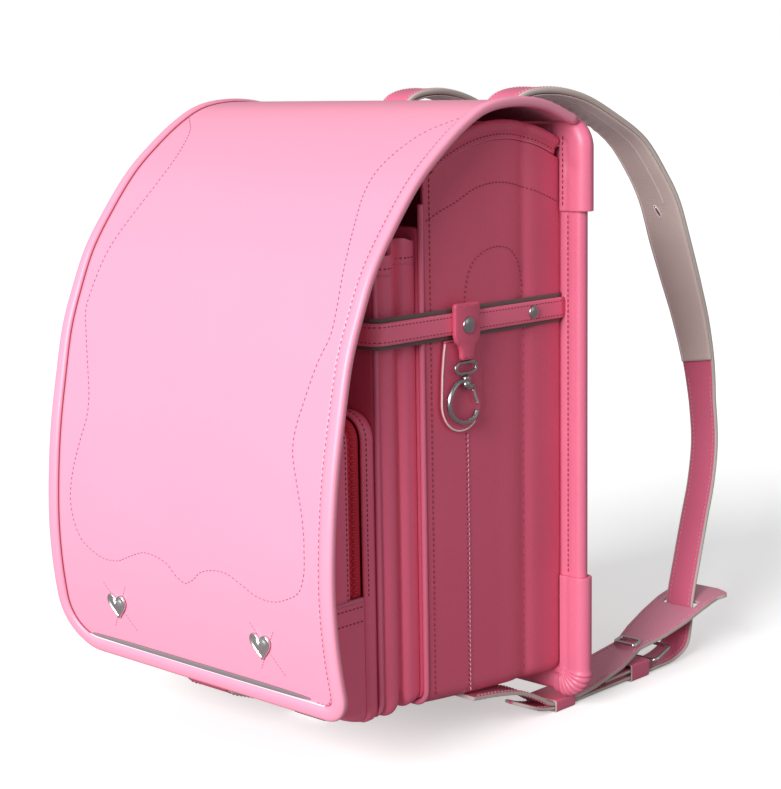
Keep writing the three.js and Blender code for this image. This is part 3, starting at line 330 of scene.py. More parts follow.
def wire(path, radius, loop=False, sides=10):
    """A round wire along a path: a circle carried square to it."""
    if loop:
        along = unit(np.roll(path, -1, axis=0) - np.roll(path, 1, axis=0))
    else:
        along = unit(np.gradient(path, axis=0))
    side = unit(np.cross(along, [0.0, 0.02, 1.0] if np.abs(along[:, 2]).max() < 0.95 else [1.0, 0.01, 0.0]))
    other = np.cross(along, side)
    t = turns(sides)
    radius = np.broadcast_to(radius, len(path))[:, None, None]
    ring = np.cos(t)[None, :, None] * side[:, None] + np.sin(t)[None, :, None] * other[:, None]
    return bar(path[:, None] + radius * ring, loop)


def band_section(half, low, high, crown=0.0, under=0.0, flat_points=11):
    """A strap's section at each place: two round edges, an outer face raised in its middle and an inner
    one."""
    turn = np.linspace(-math.pi / 2, math.pi / 2, 7)
    u = np.linspace(-1, 1, flat_points + 2)[1:-1]
    half, low, high = (np.atleast_1d(np.asarray(v, float))[:, None] for v in (half, low, high))
    middle, thick = (low + high) / 2, (high - low) / 2
    edge = np.minimum(thick, 1.4)
    dome = 1 - u ** 4
    across = np.concatenate([half - edge + edge * np.cos(turn), -u * (half - edge),
                             -half + edge - edge * np.cos(turn), u * (half - edge)], axis=1)
    out = np.concatenate([middle + thick * np.sin(turn), high + crown * dome + 0 * half,
                          middle - thick * np.sin(turn), low - under * dome + 0 * half], axis=1)
    return across, out


# Which of a band's section columns are the cut edges
EDGE_COLUMNS = [*range(0, 6), *range(18, 24)]


def band(path, half, low, high, crown=0.0, under=0.0, ways=None, loop=False):
    """A flat strap along a path; `ways` gives its directions across and outwards where they aren't
    level."""
    across, out = ways if ways else frames(path)[1:]
    a, o = band_section(half, low, high, crown, under)
    rings = path[:, None] + a[..., None] * across[:, None] + o[..., None] * out[:, None]
    return bar(rings, loop)


def wall(outer, inner):
    """A closed wall between two grids of points that have the same rows and columns."""
    rows, columns = outer.shape[:2]
    n = rows * columns
    i, j = np.arange(rows - 1) * columns, np.arange(columns - 1)
    last_row, last_column = (rows - 1) * columns + j, i + columns - 1
    faces = [
        grid_faces(rows, columns), grid_faces(rows, columns, start=n)[:, ::-1],
        np.stack([j, j + 1, n + j + 1, n + j], axis=-1),
        np.stack([last_row, n + last_row, n + last_row + 1, last_row + 1], axis=-1),
        np.stack([i, n + i, n + i + columns, i + columns], axis=-1),
        np.stack([last_column, last_column + columns, n + last_column + columns, n + last_column], axis=-1),
    ]
    return np.vstack([outer.reshape(-1, 3), inner.reshape(-1, 3)]), np.vstack(faces), np.zeros((0, 3), int)


def rounded_loop(half, bottom, top, top_radius, bottom_radius, spacing=4.0):
    """A closed outline with round corners, once round and evenly spaced."""
    turn = np.linspace(0, math.pi / 2, 12)
    corners = [
        (half - top_radius, top - top_radius, top_radius, 0),
        (-half + top_radius, top - top_radius, top_radius, 1),
        (-half + bottom_radius, bottom + bottom_radius, bottom_radius, 2),
        (half - bottom_radius, bottom + bottom_radius, bottom_radius, 3),
    ]
    ring = np.vstack([
        np.stack([x + r * np.cos(turn + quarter * math.pi / 2),
                  z + r * np.sin(turn + quarter * math.pi / 2)], axis=-1)
        for x, z, r, quarter in corners])
    closed = np.vstack([ring, ring[:1]])
    run = lengths(closed)
    where = np.linspace(0, run[-1], max(int(run[-1] / spacing), 12) + 1)[:-1]
    return at_lengths(closed, where)


def arch(half, bottom, top, radius, spacing=3.0):
    """Up the right side, over the top and down the left side, as x and z."""
    turn = np.linspace(0, math.pi / 2, 12)
    right = np.stack([half - radius + radius * np.cos(turn), top - radius + radius * np.sin(turn)], axis=-1)
    return evenly(np.vstack([[(half, bottom)], right, right[::-1] * [-1, 1], [(-half, bottom)]]), spacing)


def upright(way, y, loop=False):
    """An outline in x and z as points at a depth y, with its directions outwards and backwards."""
    if loop:
        along = np.roll(way, -1, axis=0) - np.roll(way, 1, axis=0)
    else:
        along = np.gradient(way, axis=0)
    out = unit(np.stack([along[:, 1], 0 * along[:, 0], -along[:, 0]], axis=-1))
    backwards = np.broadcast_to([0.0, 1.0, 0.0], out.shape)
    return np.stack([way[:, 0], 0 * way[:, 0] + y, way[:, 1]], axis=-1), backwards, out


def hoop(way, back, front, inner, outer, crown=0.0, loop=False):
    """A strip that stands round an outline between two depths, raised in its middle."""
    path, backwards, out = upright(way, (back + front) / 2, loop)
    return band(path, abs(back - front) / 2, inner, outer, crown, ways=(backwards, out), loop=loop)


# Stitches

def stitches(lines, pitch=3.2, length=2.3, radius=0.36, sides=6):
    """Threads along lines of (points, outward directions): short round bars whose ends dip into the
    leather."""
    u = np.array([-1.0, -0.82, -0.4, 0.0, 0.4, 0.82, 1.0])
    fat = np.array([0.25, 0.8, 1.0, 1.0, 1.0, 0.8, 0.25]) * radius
    turn = turns(sides)
    shapes = []
    for points, normals in lines:
        run = lengths(points)
        count = max(int(run[-1] / pitch), 1)
        where = (np.arange(count) + 0.5) * run[-1] / count
        middle = at_lengths(points, where)
        ahead = at_lengths(points, np.minimum(where + 0.4, run[-1]))
        behind = at_lengths(points, np.maximum(where - 0.4, 0))
        along = unit(ahead - behind)
        out = np.stack([np.interp(where, run, normals[:, k]) for k in range(3)], axis=-1)
        out = unit(out - (out * along).sum(-1, keepdims=True) * along)
        side = np.cross(along, out)
        rise = radius * (0.55 - 0.9 * u ** 4)
        centre = (middle[:, None] + along[:, None] * (u * length / 2)[None, :, None]
                  + out[:, None] * rise[None, :, None])
        ring = (np.cos(turn)[:, None] * side[:, None, None] + np.sin(turn)[:, None] * out[:, None, None])
        rings = centre[:, :, None] + fat[None, :, None, None] * ring
        n, rows = rings.shape[:2]
        base = grid_faces(rows, sides, False, True)
        quads = (np.arange(n)[:, None, None] * rows * sides + base[None]).reshape(-1, 4)
        fan = np.array([[0, k + 1, k + 2] for k in range(sides - 2)])
        first, last = fan, (rows - 1) * sides + fan[:, ::-1]
        ends = np.vstack([first, last])
        tris = (np.arange(n)[:, None, None] * rows * sides + ends[None]).reshape(-1, 3)
        shapes.append((rings.reshape(-1, 3), quads, tris))
    return together(shapes)


# Materials

def shader_group(name, inputs, outputs):
    """An empty node group with named sockets."""
    group = bpy.data.node_groups.new(name, "ShaderNodeTree")
    for label, kind, value in inputs:
        socket = group.interface.new_socket(label, in_out="INPUT", socket_type=kind)
        socket.default_value = value
    for label, kind in outputs:
        group.interface.new_socket(label, in_out="OUTPUT", socket_type=kind)
    return group


class Nodes:
    """Short ways to add nodes to a tree and to join them."""

    def __init__(self, tree):
        """Works on the given tree."""
        self.tree = tree

    def add(self, kind, **values):
        """A new node, with values set by name."""
        node = self.tree.nodes.new(kind)
        for key, value in values.items():
            setattr(node, key, value)
        return node

    def join(self, source, target):
        """A link from an output to an input."""
        self.tree.links.new(source, target)

    def math(self, operation, a, b=0.0, clamp=False):
        """One operation of arithmetic on two numbers or sockets."""
        node = self.add("ShaderNodeMath", operation=operation, use_clamp=clamp)
        for socket, value in zip(node.inputs, (a, b)):
            self.feed(value, socket)
        return node.outputs[0]

    def feed(self, value, socket):
        """Links a socket, or sets a plain value."""
        if isinstance(value, bpy.types.NodeSocket):
            self.join(value, socket)
        else:
            socket.default_value = value

    def noise(self, vector, scale, detail=2.0, rough=0.5):
        """Soft noise of a size, read at a vector."""
        node = self.add("ShaderNodeTexNoise")
        node.inputs["Scale"].default_value = scale
        node.inputs["Detail"].default_value = detail
        node.inputs["Roughness"].default_value = rough
        self.join(vector, node.inputs["Vector"])
        return node.outputs["Fac"]

    def span(self, value, low, high, to_low=0.0, to_high=1.0):
        """A value carried from one range to another."""
        node = self.add("ShaderNodeMapRange")
        for key, number in (("From Min", low), ("From Max", high), ("To Min", to_low), ("To Max", to_high)):
            self.feed(number, node.inputs[key])
        self.feed(value, node.inputs["Value"])
        return node.outputs["Result"]

    def mix(self, factor, a, b):
        """Two colours mixed by a factor."""
        node = self.add("ShaderNodeMix", data_type="RGBA")
        self.feed(factor, node.inputs[0])
        self.feed(a, node.inputs[6])
        self.feed(b, node.inputs[7])
        return node.outputs[2]


def leather_group():
    """Leather grain: small round pebbles of cells over soft waves, with a slow drift of tone."""
    group = shader_group("leather_grain", [
        ("Colour", "NodeSocketColor", (0.8, 0.3, 0.4, 1)),
        ("Deep colour", "NodeSocketColor", (0.6, 0.1, 0.2, 1)),
        ("Grain scale", "NodeSocketFloat", 900.0), ("Drift", "NodeSocketFloat", 0.3),
        ("Roughness", "NodeSocketFloat", 0.45),
    ], [("Colour", "NodeSocketColor"), ("Roughness", "NodeSocketFloat"), ("Height", "NodeSocketFloat")])
    n = Nodes(group)
    given = n.add("NodeGroupInput").outputs
    place = n.add("ShaderNodeTexCoord").outputs["Object"]
    cells = n.add("ShaderNodeTexVoronoi", feature="SMOOTH_F1")
    n.join(place, cells.inputs["Vector"])
    n.join(given["Grain scale"], cells.inputs["Scale"])
    pebble = n.span(cells.outputs["Distance"], 0.1, 0.8, 1.0, 0.0)
    waves = n.noise(place, 60.0, 3.0)
    slow = n.noise(place, 9.0, 2.0)
    drift = n.math("MULTIPLY", n.span(slow, 0.35, 0.7), given["Drift"])
    hollow = n.math("MULTIPLY", n.math("SUBTRACT", 1.0, pebble), 0.22)
    shade = n.math("ADD", drift, hollow, clamp=True)
    out = n.add("NodeGroupOutput").inputs
    n.join(n.mix(shade, given["Colour"], given["Deep colour"]), out["Colour"])
    rough = n.math("ADD", given["Roughness"], n.math("MULTIPLY", n.math("SUBTRACT", waves, 0.5), 0.16))
    n.join(rough, out["Roughness"])
    n.join(n.math("ADD", n.math("MULTIPLY", pebble, 0.6), n.math("MULTIPLY", waves, 0.9)), out["Height"])
    return group


def surface(name, **constants):
    """A material with a Principled shader whose constant values are set on its own sockets."""
    material = bpy.data.materials.new(name)
    material.use_nodes = True
    shader = next(node for node in material.node_tree.nodes if node.type == "BSDF_PRINCIPLED")
    for key, value in constants.items():
        shader.inputs[key.replace("_", " ")].default_value = value
    return material, Nodes(material.node_tree), shader


def use_group(n, group, **values):
    """Places a node group in a material with its own values."""
    node = n.add("ShaderNodeGroup", node_tree=group)
    for key, value in values.items():
        n.feed(value, node.inputs[key.replace("_", " ")])
    return node.outputs


def bump(n, shader, height, distance, strength=1.0):
    """Feeds a height into the shader's normal."""
    node = n.add("ShaderNodeBump")
    node.inputs["Distance"].default_value = distance / 1000
    node.inputs["Strength"].default_value = strength
    n.join(height, node.inputs["Height"])
    n.join(node.outputs["Normal"], shader.inputs["Normal"])


GRAIN = leather_group()


def leather(name, colour, deep, rough=0.42, scale=900.0, drift=0.3, depth=0.1, specular=0.5, coat=0.0):
    """Pigmented leather with a fine pebbled grain."""
    material, n, shader = surface(name, Specular_IOR_Level=specular, Coat_Weight=coat, Coat_Roughness=0.25)
    out = use_group(n, GRAIN, Colour=(*colour, 1), Deep_colour=(*deep, 1), Grain_scale=scale, Drift=drift,
                    Roughness=rough)
    n.join(out["Colour"], shader.inputs["Base Color"])
    n.join(out["Roughness"], shader.inputs["Roughness"])
    bump(n, shader, out["Height"], depth)
    return material


def steel(name, colour, rough):
    """Polished steel with faint smears."""
    material, n, shader = surface(name, Metallic=1.0, Base_Color=(*colour, 1))
    place = n.add("ShaderNodeTexCoord").outputs["Object"]
    smear = n.noise(place, 260.0, 3.0)
    n.join(n.span(smear, 0.3, 0.7, rough, rough + 0.14), shader.inputs["Roughness"])
    bump(n, shader, smear, 0.02, 0.4)
    return material


def thread(name, colour):
    """Twisted sewing thread: fine slanting ridges."""
    material, n, shader = surface(name, Roughness=0.6, Sheen_Weight=0.2)
    place = n.add("ShaderNodeTexCoord").outputs["Object"]
    waves = n.add("ShaderNodeTexWave", bands_direction="DIAGONAL")
    waves.inputs["Scale"].default_value = 700.0
    n.join(place, waves.inputs["Vector"])
    dark = tuple(0.6 * c for c in colour)
    n.join(n.mix(waves.outputs["Fac"], (*dark, 1), (*colour, 1)), shader.inputs["Base Color"])
    bump(n, shader, waves.outputs["Fac"], 0.08)
    return material


def cloth(name, colour, deep, scale=1400.0, rough=0.55, sheen=0.4):
    """Woven cloth: two crossed sets of fine ribs."""
    material, n, shader = surface(name, Sheen_Weight=sheen, Roughness=rough)
    place = n.add("ShaderNodeTexCoord").outputs["Object"]
    ribs = []
    for direction in ("X", "Z"):
        wave = n.add("ShaderNodeTexWave", bands_direction=direction)
        wave.inputs["Scale"].default_value = scale / 6
        n.join(place, wave.inputs["Vector"])
        ribs.append(wave.outputs["Fac"])
    weave = n.math("MULTIPLY", ribs[0], ribs[1])
    cloud = n.noise(place, 25.0, 3.0)
    shade = n.math("ADD", n.math("MULTIPLY", weave, 0.5), n.math("MULTIPLY", cloud, 0.5), clamp=True)
    n.join(n.mix(shade, (*deep, 1), (*colour, 1)), shader.inputs["Base Color"])
    bump(n, shader, weave, 0.12)
    return material


flap_pink = leather("flap_pink_leather", (0.95, 0.345, 0.485), (0.93, 0.31, 0.45), rough=0.4, drift=0.2,
                    depth=0.05)
# Body leather: the same pink as the trim, painted darker as shade, since the body's sides stand out of the
# key light.
shade_darkened_body = leather("shade_darkened_body_leather", (0.76, 0.118, 0.212), (0.63, 0.076, 0.152), rough=0.42, depth=0.09)
trim_pink = leather("trim_pink_leather", (0.82, 0.19, 0.31), (0.72, 0.135, 0.245), rough=0.4, depth=0.08)
strap_pink = leather("strap_pink_leather", (0.80, 0.17, 0.29), (0.64, 0.11, 0.21), rough=0.36, depth=0.08,
                     coat=0.1)
edge_paint = leather("edge_paint", (0.62, 0.53, 0.49), (0.44, 0.36, 0.33), rough=0.6, scale=1500.0,
                     depth=0.04)
leaf_pink = leather("leaf_pink_leather", (0.86, 0.30, 0.43), (0.74, 0.20, 0.33), rough=0.24, depth=0.04,
                    coat=0.8)
satin = cloth("satin_lining", (0.78, 0.64, 0.60), (0.64, 0.52, 0.48), rough=0.42)
zip_red = cloth("zip_tape", (0.92, 0.021, 0.068), (0.58, 0.011, 0.038), rough=0.7, sheen=0.1)
silver = leather("silver_strip", (0.26, 0.225, 0.245), (0.16, 0.14, 0.155), rough=0.35, scale=1600.0,
                 depth=0.05)
# A lighter copy of the body leather for the small compartment and zip pocket: painted light, as these
# pieces catch more light than the sides.
light_painted_front = leather("front_pink_leather", (0.98, 0.17, 0.30), (0.85, 0.12, 0.23), rough=0.42, depth=0.09)
belt_pink = leather("belt_pink_leather", (0.96, 0.175, 0.30), (0.84, 0.13, 0.24), rough=0.4, depth=0.08,
                    coat=0.2)
backing_grey = leather("belt_backing", (0.17, 0.125, 0.115), (0.11, 0.08, 0.075), rough=0.5, scale=1600.0,
                       depth=0.05)
pad_leather = leather("back_pad_leather", (0.78, 0.22, 0.33), (0.62, 0.14, 0.24), rough=0.5, depth=0.1)
bright_steel = steel("bright_steel", (0.78, 0.77, 0.77), 0.16)
dark_steel = steel("dark_steel", (0.45, 0.42, 0.43), 0.22)
mauve_thread = thread("mauve_thread", (0.50, 0.20, 0.36))
# Pale leather for pale edges and for painted highlights along raised lines and rims.
pale_highlight_and_edge = leather("pale_highlight_and_edge", (0.96, 0.80, 0.80), (0.88, 0.68, 0.70), rough=0.4, scale=1500.0,
                    depth=0.03)
heart_silver = steel("heart_silver", (0.86, 0.84, 0.85), 0.24)
# Crimson thread, darkened from the leather-coloured real thread as painted shade of its stitch holes.
dark_thread_with_hole_shade = thread("dark_thread_with_hole_shade", (0.40, 0.022, 0.07))
soft_thread = thread("soft_thread", (0.52, 0.05, 0.11))
pink_thread = thread("pink_thread", (0.90, 0.42, 0.55))

SLOT_FINISH = {
    "flap_leather": flap_pink, "body_leather": shade_darkened_body, "trim_leather": trim_pink, "back_lining": satin,
    "zip_fabric": zip_red, "reflective_band": silver, "steel": bright_steel,
}

for node in nodes.values():
    for place in node.material_slots:
        for label, finish in SLOT_FINISH.items():
            if place.material and place.material.name.startswith(label):
                place.material = finish


# Flap

FLAP_LINE = [(0.0028, 0.9672), (0.138, 0.9937), (0.271, 1.0), (0.391, 0.9895), (0.478, 0.9647),
             (0.575, 0.9246), (0.662, 0.8805), (0.749, 0.8197), (0.828, 0.7535), (0.878, 0.69),
             (0.92, 0.6238), (0.952, 0.5382), (0.979, 0.4499), (0.995, 0.3588), (1.0, 0.276),
             (0.991, 0.1932), (0.97, 0.1159), (0.947, 0.058)]
flap_curve = spline([(0, -reach * FLAP_REACH, height * FLAP_TOP) for reach, height in FLAP_LINE], 40)
FLAP_LENGTH = lengths(flap_curve)[-1]
SHEET_LENGTH = FLAP_LENGTH - RIM_WIDTH - GAP
flap_tangent = unit(np.gradient(flap_curve, axis=0))
RIM_SHARES = [(0, 0.76), (150, 0.78), (330, 1.0), (500, 1.0)]


def rim_spared(along):
    """How much narrower than below the rim is towards the top of the flap, in mm."""
    return RIM_WIDTH * (1 - table(RIM_SHARES, along))


def flap_frame(along):
    """Along and outward directions of the flap at distances from its back edge."""
    run = lengths(flap_curve)
    tangent = unit(np.stack([np.interp(along, run, flap_tangent[:, k]) for k in range(3)], axis=-1))
    return tangent, np.stack([0 * tangent[..., 0], tangent[..., 2], -tangent[..., 1]], axis=-1)


def on_flap(x, along, lift=0.0):
    """Points of the flap: across it, along it from the back panel, and lifted off its outer face."""
    x, along, lift = np.broadcast_arrays(np.asarray(x, float), along, lift)
    place = at_lengths(flap_curve, along)
    _, normal = flap_frame(along)
    place = place + lift[..., None] * normal
    place[..., 0] = x
    return place


def half_at(along, half, length, radius):
    """The flap's half width along one side, with its lower corner rounded."""
    into = np.maximum(along - (length - radius), 0)
    return half - radius + np.sqrt(np.maximum(radius ** 2 - into ** 2, 0))


def flap_sheet():
    """The flap inside its rim: rows along it, columns across it, narrower at the rounded lower corners."""
    right, left = CORNER_RIGHT - RIM_WIDTH, CORNER_LEFT - RIM_WIDTH
    bend = SHEET_LENGTH - left
    rows = np.concatenate([np.linspace(0, bend, 180)[:-1],
                           bend + left * np.sin(np.linspace(0, math.pi / 2, 16))])[:, None]
    u = np.linspace(-1, 1, 90)[None, :]
    half = np.where(u > 0, half_at(rows, SHEET_HALF, SHEET_LENGTH, right),
                    half_at(rows, SHEET_HALF, SHEET_LENGTH, left)) + rim_spared(rows)
    return sheet(on_flap(u * half, rows, -LEATHER / 2))


def flap_edge(inset, spacing=3.0):
    """The way down the flap's right edge, round its lower corners and up the left edge: x, along,
    outward."""
    half, length = FLAP_HALF - inset, FLAP_LENGTH - inset
    right, left = CORNER_RIGHT - inset, CORNER_LEFT - inset
    a = np.linspace(0, math.pi / 2, 14)
    b = np.linspace(math.pi / 2, math.pi, 20)
    down = np.arange(0, length - right, spacing)
    up = np.arange(0, length - left, spacing)[::-1]
    across = np.arange(half - right - spacing, -half + left + spacing, -spacing)
    x = np.concatenate([0 * down + half, half - right + right * np.cos(a), across,
                        -half + left + left * np.cos(b), 0 * up - half])
    along = np.concatenate([down, length - right + right * np.sin(a), 0 * across + length,
                            length - left + left * np.sin(b), up])
    out_x = np.concatenate([0 * down + 1, np.cos(a), 0 * across, np.cos(b), 0 * up - 1])
    out_along = np.concatenate([0 * down, np.sin(a), 0 * across + 1, np.sin(b), 0 * up])
    return x, along, out_x, out_along


def flap_rim():
    """The rolled bead: a squarish oval carried round the edge, half sunk below the flap's face."""
    x, along, out_x, out_along = flap_edge(RIM_WIDTH / 2)
    tangent, normal = flap_frame(along)
    out = out_along[:, None] * tangent
    out[:, 0] = out_x
    t = turns(28)
    spared = rim_spared(along)
    middle = on_flap(x + out_x * spared / 2, along, -0.42 * LEATHER)
    sideways = np.sign(np.cos(t)) * np.abs(np.cos(t)) ** 0.8
    upwards = np.sign(np.sin(t)) * np.abs(np.sin(t)) ** 0.72
    rings = (middle[:, None] + ((RIM_WIDTH - spared)[:, None] / 2 * sideways)[..., None] * out[:, None]
             + (RIM_THICKNESS / 2) * upwards[None, :, None] * normal[:, None])
    return bar(rings)


def flap_line(x, along, lift=0.0):
    """A line on the flap with its outward directions, for stitches."""
    return on_flap(x, along, lift), flap_frame(along)[1]


SCALLOP = [(118, 101), (101, 118), (91, 145), (91, 165), (97, 190), (103, 213), (107.5, 240), (108, 256),
           (103, 270), (97, 290), (92, 310), (92, 322), (97, 338), (103, 358), (105, 375), (103, 388),
           (97, 398), (88, 403), (77, 406.5), (63, 406), (50, 401), (38, 396.7), (27, 396.7), (15, 400),
           (7.5, 406), (0, 409.5)]
CROSSES = [
    ((56.9, 424.2), (81.4, 453.2)), ((76.6, 426.4), (61.2, 453)),
    ((-77, 424), (-50.4, 452.2)), ((-55.2, 423.4), (-72.3, 453)),
]


def flap_border(inset):
    """The line just inside the rim, with its outward directions: x and along as well."""
    x, along, out_x, _ = flap_edge(RIM_WIDTH + inset)
    along = np.maximum(along, 2)
    x = x + out_x * rim_spared(along)
    points, out = flap_line(x, along)
    return x, along, points, out


def flap_stitches():
    """The row inside the rim, the scalloped row and the two crosses under the rivets."""
    x, along, points, out = flap_border(1.2)
    last = int(np.argmax((x < 101) & (along > 440)))
    half = spline(SCALLOP, 10)
    whole = np.vstack([half, (half * [-1, 1])[-2::-1]])
    lower = np.clip((whole[:, 1:] - 375) / 20, 0, 1)
    whole = whole + lower * [2.4, 1.8]
    scallop = flap_line(whole[:, 0], whole[:, 1])
    crosses = [flap_line(np.linspace(a[0], b[0], 8), np.linspace(a[1], b[1], 8)) for a, b in CROSSES]
    return (stitches([(points[:last], out[:last]), scallop], pitch=3.3, length=2.1, radius=0.32),
            stitches(crosses, pitch=2.2, length=1.9, radius=0.22))


def flap_valley_shade():
    """A dark wire of painted shade in the seam's valley inside the rim's left edge and lower left corner.
    """
    x, along, points, out = flap_border(0.5)
    keep = (x < -98) & (along > 20)
    return wire(points[keep] + 0.1 * out[keep], 0.42, sides=8)


def flap_lower_highlight():
    """A pale wire of painted highlight on the inner edge of the lower rim, between the silver strip and the
    rim.
    """
    x, along, points, out = flap_border(0.3)
    keep = (np.abs(x - 4) < 106) & (along > 440)
    return wire(points[keep] + 0.35 * out[keep], 0.5, sides=8)


piece("flap_leather", flap_sheet(), flap_pink, stands_for=["flap"], slot="flap_leather", thickness=LEATHER)
piece("flap_rim_bead", flap_rim(), flap_pink, stands_for=["flap_rim"], slot="flap_leather")
rows, crosses = flap_stitches()
piece("flap_rows", rows, mauve_thread, slot="flap_leather")
piece("flap_crosses", crosses, mauve_thread, slot="flap_leather")
piece("flap_valley_shade_line", flap_valley_shade(), dark_thread_with_hole_shade, slot="flap_leather")
piece("flap_lower_highlight_line", flap_lower_highlight(), pale_highlight_and_edge, slot="flap_leather")


# Body

def trough(half, bottom, top, corner, side_rows=70, corner_rows=8, base_rows=24):
    """Down the right side, round the bottom corners and up the left side, one row for each depth."""
    half, bottom, top, corner = (np.asarray(v, float)[:, None] for v in (half, bottom, top, corner))
    fall = np.linspace(0, 1, side_rows)[None, :-1]
    a = np.linspace(0, -math.pi / 2, corner_rows)[None, :]
    inward = np.linspace(0, 1, base_rows)[None, 1:]
    x = np.concatenate([half + 0 * fall, half - corner + corner * np.cos(a),
                        (half - corner) * (1 - inward)], axis=1)
    z = np.concatenate([top + (bottom + corner - top) * fall, bottom + corner + corner * np.sin(a),
                        bottom + 0 * inward], axis=1)
    return np.concatenate([x, -x[:, -2::-1]], axis=1), np.concatenate([z, z[:, -2::-1]], axis=1)


def base_at(y):
    """How high the base lies at a depth: it lifts by a power of the share of the depth."""
    return BASE_RISE * (-y / BODY_DEPTH) ** 1.3


def arch_at(y):
    """How high the side's top edge lies at a depth: a parabola with its top near the middle."""
    return ARCH_TOP - ARCH_DROP * ((-y - 0.45 * BODY_DEPTH) / (0.49 * BODY_DEPTH)) ** 2


SIDE_FOLDS = [(0, 0.9), (0.12, 1.1), (0.22, 0.5), (0.275, -1.3), (0.33, 0), (0.5, 0.5), (0.72, 0.6),
              (0.9, 0.2), (1, -0.4)]
SMALL_FOLDS = [(0, 0.8), (0.15, 0.2), (0.33, 0.9), (0.43, 4.4), (0.50, 4.0), (0.62, 0.3), (0.74, -1.0),
               (0.86, -0.5), (0.95, 1.4), (1, 2.6)]
SMALL_TOPS = [(0, 284.5), (0.5, 284), (0.6, 280), (1, 278.5)]


def side_at(y):
    """How far out the side of the main compartment stands at a depth."""
    return BODY_HALF + table(SIDE_FOLDS, -y / BODY_DEPTH)


def as_grid(x, z, y):
    """Outlines at several depths, as one grid of points."""
    return np.stack([x, np.broadcast_to(y[:, None], x.shape), z], axis=-1)


def main_gusset():
    """One strip of leather down one side, under the base and up the other, pushed in and out by its
    folds."""
    depth = np.linspace(0, 1, 60)
    y = -GAP - depth * (BODY_DEPTH - GAP)
    wall = LEATHER / 2
    x, z = trough(BODY_HALF + table(SIDE_FOLDS, depth) - wall, base_at(y) + wall, arch_at(y) - GAP,
                  BODY_CORNER - wall + 0 * y)
    return sheet(as_grid(x, z, y))


def small_gusset():
    """The narrow strip of the small compartment, with a deep fold in the middle of each side."""
    depth = np.linspace(0, 1, 44)
    inset = table(SMALL_FOLDS, depth)
    y = SMALL_BACK - depth * SMALL_DEPTH
    wall = LEATHER / 2
    x, z = trough(SMALL_HALF - inset - wall, 9 + 1.3 * inset + wall, table(SMALL_TOPS, depth),
                  BODY_CORNER - wall + 0 * y)
    return sheet(as_grid(x, z, y))


def trough_piping(half, bottom, top, corner, y, radius):
    """A rolled edge that follows a trough outline, of round section."""
    x, z = trough([half], [bottom], [top], [corner], 90)
    middle = np.stack([x[0], 0 * x[0] + y, z[0]], axis=-1)
    along = unit(np.gradient(middle, axis=0))
    across = np.stack([-along[:, 2], 0 * along[:, 0], along[:, 0]], axis=-1)
    t = turns(14)
    rings = middle[:, None] + radius * np.cos(t)[None, :, None] * across[:, None]
    rings = rings + radius * np.sin(t)[None, :, None] * np.array([0.0, 1.0, 0.0])
    return bar(rings)


piece("main_gusset_leather", main_gusset(), shade_darkened_body, stands_for=["main_gusset"], thickness=LEATHER,
      rounded=0.7)
piece("main_piping_roll",
      trough_piping(MAIN_PIPING_HALF, base_at(-BODY_DEPTH) + 1.0, 305, BODY_CORNER, MAIN_PIPING_Y,
                    MAIN_ROLL),
      trim_pink, stands_for=["main_piping"])
piece("small_gusset_leather", small_gusset(), light_painted_front, stands_for=["small_gusset"], thickness=LEATHER,
      rounded=0.7)
piece("small_piping_roll",
      trough_piping(SMALL_PIPING_HALF, 10, 274, BODY_CORNER, SMALL_PIPING_Y, SMALL_ROLL), trim_pink,
      stands_for=["small_piping"])


def side_hem():
    """The hem on the arched top edge: a flat stitched strip below a soft roll, carried along the arch."""
    y = np.linspace(-6.6, 6.6 - BODY_DEPTH, 70)
    slope = (arch_at(y - 1) - arch_at(y + 1)) / 2
    tilt = unit(np.stack([slope, 1 + 0 * slope], axis=-1))
    t = np.linspace(-1.1, math.pi + 1.1, 20)
    out = np.concatenate([[0.7, 1.4, 1.75, 1.7, 1.25, 1.4], 0.7 + 2.6 * np.cos(t), [-1.4, -1.4]])
    lift = np.concatenate([[0.0, 0.1, 0.5, 1.6, 2.4, 3.2], 7.4 + 3.6 * np.sin(t), [3.2, 0.0]])[None, :]
    x = (side_at(y) - LEATHER / 2)[:, None] + out[None, :]
    rings = np.stack([x, y[:, None] + tilt[:, :1] * lift, arch_at(y)[:, None] + tilt[:, 1:] * lift],
                     axis=-1)
    return bar(rings)


pair("side_hem_roll", side_hem, shade_darkened_body, stands_for=["side_hem"])


# Straps

STRAP_LINE = [(0, 0.0705, 0.868, 0.66, 1), (0.01, 0.074, 0.945, 0.68, 1), (0.03, 0.133, 0.986, 0.71, 1),
              (0.05, 0.255, 1, 0.76, 1), (0.09, 0.422, 0.988, 0.82, 1), (0.12, 0.584, 0.951, 0.88, 1),
              (0.16, 0.729, 0.904, 0.92, 1), (0.22, 0.825, 0.839, 0.92, 1), (0.27, 0.876, 0.787, 0.95, 1),
              (0.34, 0.913, 0.71, 0.97, 1), (0.42, 0.947, 0.632, 0.93, 1),
              (0.49, 0.982, 0.553, 0.86, 0.95), (0.56, 1, 0.474, 0.76, 0.9),
              (0.63, 0.997, 0.396, 0.65, 0.8), (0.71, 0.979, 0.319, 0.63, 0.75),
              (0.78, 0.931, 0.246, 0.63, 0.7), (0.85, 0.86, 0.175, 0.63, 0.7),
              (0.93, 0.786, 0.106, 0.63, 0.65), (0.98, 0.728, 0.038, 0.63, 0.6),
              (1, 0.712, -0.005, 0.63, 0.55)]
TAIL_LINE = [(0.69, 9.8), (0.62, 3.6), (0.52, 2.4), (0.4, 2.4), (0.2, 2.4), (0.0, 2.4), (-0.05, 2.9),
             (-0.1, 5.2), (-0.19, 12.5)]
